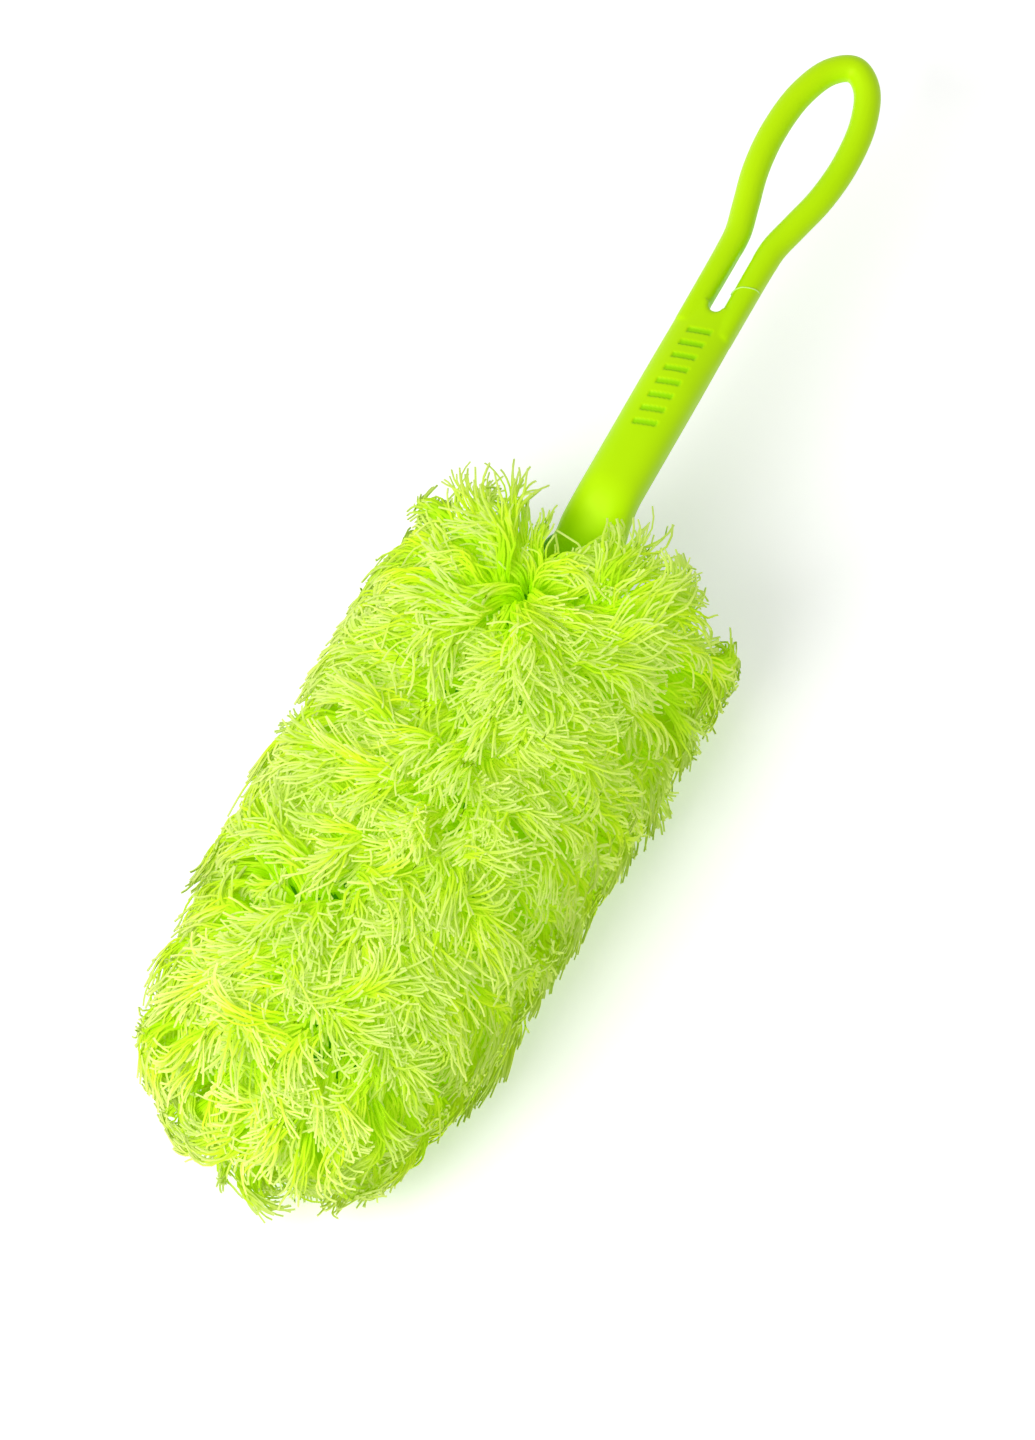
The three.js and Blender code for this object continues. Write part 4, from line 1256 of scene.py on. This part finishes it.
def turned(vectors, axes, angles):
    """Vectors turned round unit axes by angles."""
    c, s = np.cos(angles)[..., None], np.sin(angles)[..., None]
    along = np.sum(vectors * axes, axis=-1, keepdims=True)
    return vectors * c + np.cross(axes, vectors) * s + axes * along * (1 - c)


def crinkle(paths, outward, curls, lock, random):
    """Bends each strand to and fro and curls its end, without a change of its length."""
    share = np.linspace(0, 1, STRAND_STEPS)[None, :]
    links = np.diff(paths, axis=1)
    outs = outward[:, 1:]
    groups = ((LOCK_WAVES, lock.max() + 1, lock), (STRAND_WAVES, len(paths), slice(None)))
    for axes, curl in ((outs, curls[0]), (unit(np.cross(links, outs)), 0.7 * curls[1])):
        angles = 0
        for size, count, members in groups:
            waves = random.gamma(4, size, count)[members, None]
            pace = random.uniform(1.2, 2.8, count)[members, None] * 2 * np.pi
            start = random.uniform(0, 2 * np.pi, count)[members, None]
            angles = angles + waves * smoothstep(2 * share) * np.sin(start + pace * share)
        links = turned(links, axes, angles + curl[:, None] * share**2.5)
    return np.concatenate([paths[:, :1], paths[:, :1] + np.cumsum(links, axis=1)], axis=1)


def tube_mesh(name, points):
    """A mesh of closed tubes, from points of shape (tubes, rings, sides, 3)."""
    tubes, rings, sides = points.shape[:3]
    first = (np.arange(tubes) * rings * sides)[:, None]
    ring = first[:, :, None] + np.arange(rings - 1)[:, None] * sides
    k = np.arange(sides)
    after = (k + 1) % sides
    quads = np.stack([ring + k, ring + after, ring + after + sides, ring + k + sides], axis=-1)
    caps = np.concatenate([first + k + (rings - 1) * sides, first + k[::-1]])
    corners = np.concatenate([quads.ravel(), caps.ravel()])
    starts = [np.arange(0, quads.size, 4), quads.size + np.arange(0, caps.size, sides)]
    starts = np.concatenate(starts)
    mesh = bpy.data.meshes.new(name)
    mesh.vertices.add(points.size // 3)
    mesh.vertices.foreach_set("co", points.ravel() * MM)
    mesh.loops.add(len(corners))
    mesh.loops.foreach_set("vertex_index", corners.astype(np.int32))
    mesh.polygons.add(len(starts))
    mesh.polygons.foreach_set("loop_start", starts.astype(np.int32))
    mesh.update(calc_edges=True)
    mesh.validate()
    return mesh


def bake_layer(mesh, along, tone):
    """A UV layer with a column for each tone, in which a strand runs up."""
    vertex = np.empty(len(mesh.loops), dtype=np.int32)
    mesh.loops.foreach_get("vertex_index", vertex)
    around = (vertex % STRAND_SIDES) / STRAND_SIDES
    u = (tone[vertex] * (TONES - 1) + lerp(0.15, 0.85, around)) / TONES
    v = lerp(0.02, 0.98, along[vertex])
    layer = mesh.uv_layers.new(name="OFBake")
    layer.data.foreach_set("uv", np.stack([u, v], axis=1).astype(np.float32).ravel())


def strand_mesh(name, paths, tones, radii, material, outward=None):
    """Tubes of a few sides along the paths, blunt at the cut end, lit partly as one soft pile."""
    count, rings = paths.shape[:2]
    tangents = unit(np.gradient(paths, axis=1))
    steep = np.abs(tangents[:, :1, 2:]) > 0.8
    side = unit(np.cross(tangents, np.where(steep, [1.0, 0, 0], [0, 0, 1.0])))
    up = np.cross(tangents, side)
    share = np.linspace(0, 1, rings)
    width = radii[:, None] * (1 - STRAND_TAPER * share**2)
    angles = circle(STRAND_SIDES)[:, None]
    normals = side[:, :, None] * np.cos(angles) + up[:, :, None] * np.sin(angles)
    mesh = tube_mesh(name, paths[:, :, None] + normals * width[:, :, None, None])
    along = np.tile(np.repeat(share, STRAND_SIDES), count)
    tone = np.repeat(tones / (TONES - 1), rings * STRAND_SIDES)
    mark_points(mesh, "along", along)
    mark_points(mesh, "tone", tone)
    bake_layer(mesh, along, tone)
    mesh.shade_smooth()
    if outward is not None:
        soft = lerp(normals, outward[:, :, None], SOFT_SHARE)
        mesh.normals_split_custom_set_from_vertices(unit(soft.reshape(-1, 3)))
    mesh.materials.append(material)
    return new_object(name, mesh)


def thread_mesh(name, paths, radius, material):
    """Tubes of one thickness and tone along the paths."""
    count = len(paths)
    return strand_mesh(name, paths, np.full(count, TONES // 2), np.full(count, radius), material)


def build_pile():
    """The strands in four fields, one for each side of the cover, in pieces from mouth to tip."""
    random = np.random.default_rng(SEED)
    paths, outward, lock = strand_paths(random)
    count = len(lock)
    tones = random.normal(TONE_MIDDLE, LOCK_TONE, lock.max() + 1)[lock]
    tones += random.normal(0, STRAND_TONE, count)
    tones = np.clip(np.round(tones * (TONES - 1)), 0, TONES - 1)
    radii = STRAND_RADIUS * np.clip(random.normal(1, RADIUS_SPREAD, count), *RADIUS_LIMITS)
    material = strand_material()
    roots = paths[:, 0]
    left = roots[:, 1] > MIDDLE_Y + POCKET_MOUTH[0]
    right = roots[:, 1] < MIDDLE_Y - POCKET_MOUTH[0]
    top = ~left & ~right & (roots[:, 2] > BLADE_Z)
    under = ~(left | right | top)
    nodes = ("pile_left", "pile_right", "pile_top", "pile_bottom")
    fields = zip(("left", "right", "top", "under"), (left, right, top, under), nodes)
    for name, chosen, node in fields:
        order = np.flatnonzero(chosen)
        order = order[np.argsort(-roots[order, 0], kind="stable")]
        parts = np.array_split(order, math.ceil(len(order) / MOST_STRANDS))
        for number, part in enumerate(parts, 1):
            strands = (paths[part], tones[part], radii[part], material, outward[part])
            piece = strand_mesh(f"strands_{name}_{number}", *strands)
            place_piece(piece, "sleeve", node)


# Stage and light


def seen_rays(tree, unseen, seen):
    """One value for the rays that light the object and another for those that show the stage."""
    rays = add_node(tree, "LightPath").outputs
    shown = rays["Is Camera Ray"]
    for kind in ("Is Glossy Ray", "Is Transmission Ray"):
        either = add_node(tree, "Math", {0: shown, 1: rays[kind]}, operation="MAXIMUM")
        shown = either.outputs["Value"]
    return spread(tree, shown, unseen, seen)


def stage_and_light(reach=3000):
    """The table, the white round it, and one large soft lamp."""
    corners = [(-reach, -reach, 0), (reach, -reach, 0), (reach, reach, 0), (-reach, reach, 0)]
    floor = mesh_object("floor", corners, [(0, 1, 2, 3)])
    material, tree, shader = new_material("white_table")
    feed(shader, {
        "Base Color": (0.9, 0.9, 0.9, 1),
        "Roughness": 0.7,
        "Specular IOR Level": 0.1,
        "Emission Color": (1, 1, 1, 1),
        "Emission Strength": seen_rays(tree, 0.0, 0.3),
    })
    floor.data.materials.append(material)
    world = bpy.data.worlds.new("studio")
    bpy.context.scene.world = world
    world.use_nodes = True
    tree = world.node_tree
    light = {"Color": (1, 1, 1, 1), "Strength": seen_rays(tree, 0.56, 1.0)}
    feed(tree.nodes["Background"], light)
    data = bpy.data.lights.new("key", "AREA")
    data.shape = "DISK"
    data.size = 1400 * MM
    data.energy = 27
    lamp = new_object("key", data)
    lamp.location = mm(-1250, 500, 1350)
    aim(lamp, mm(0, 0, 30) - lamp.location)


build_handle()
build_blade()
build_lining()
build_padding()
build_backing()
build_binding()
build_elastic()
build_pile()
stage_and_light()

bpy.context.scene.view_settings.view_transform = "Standard"
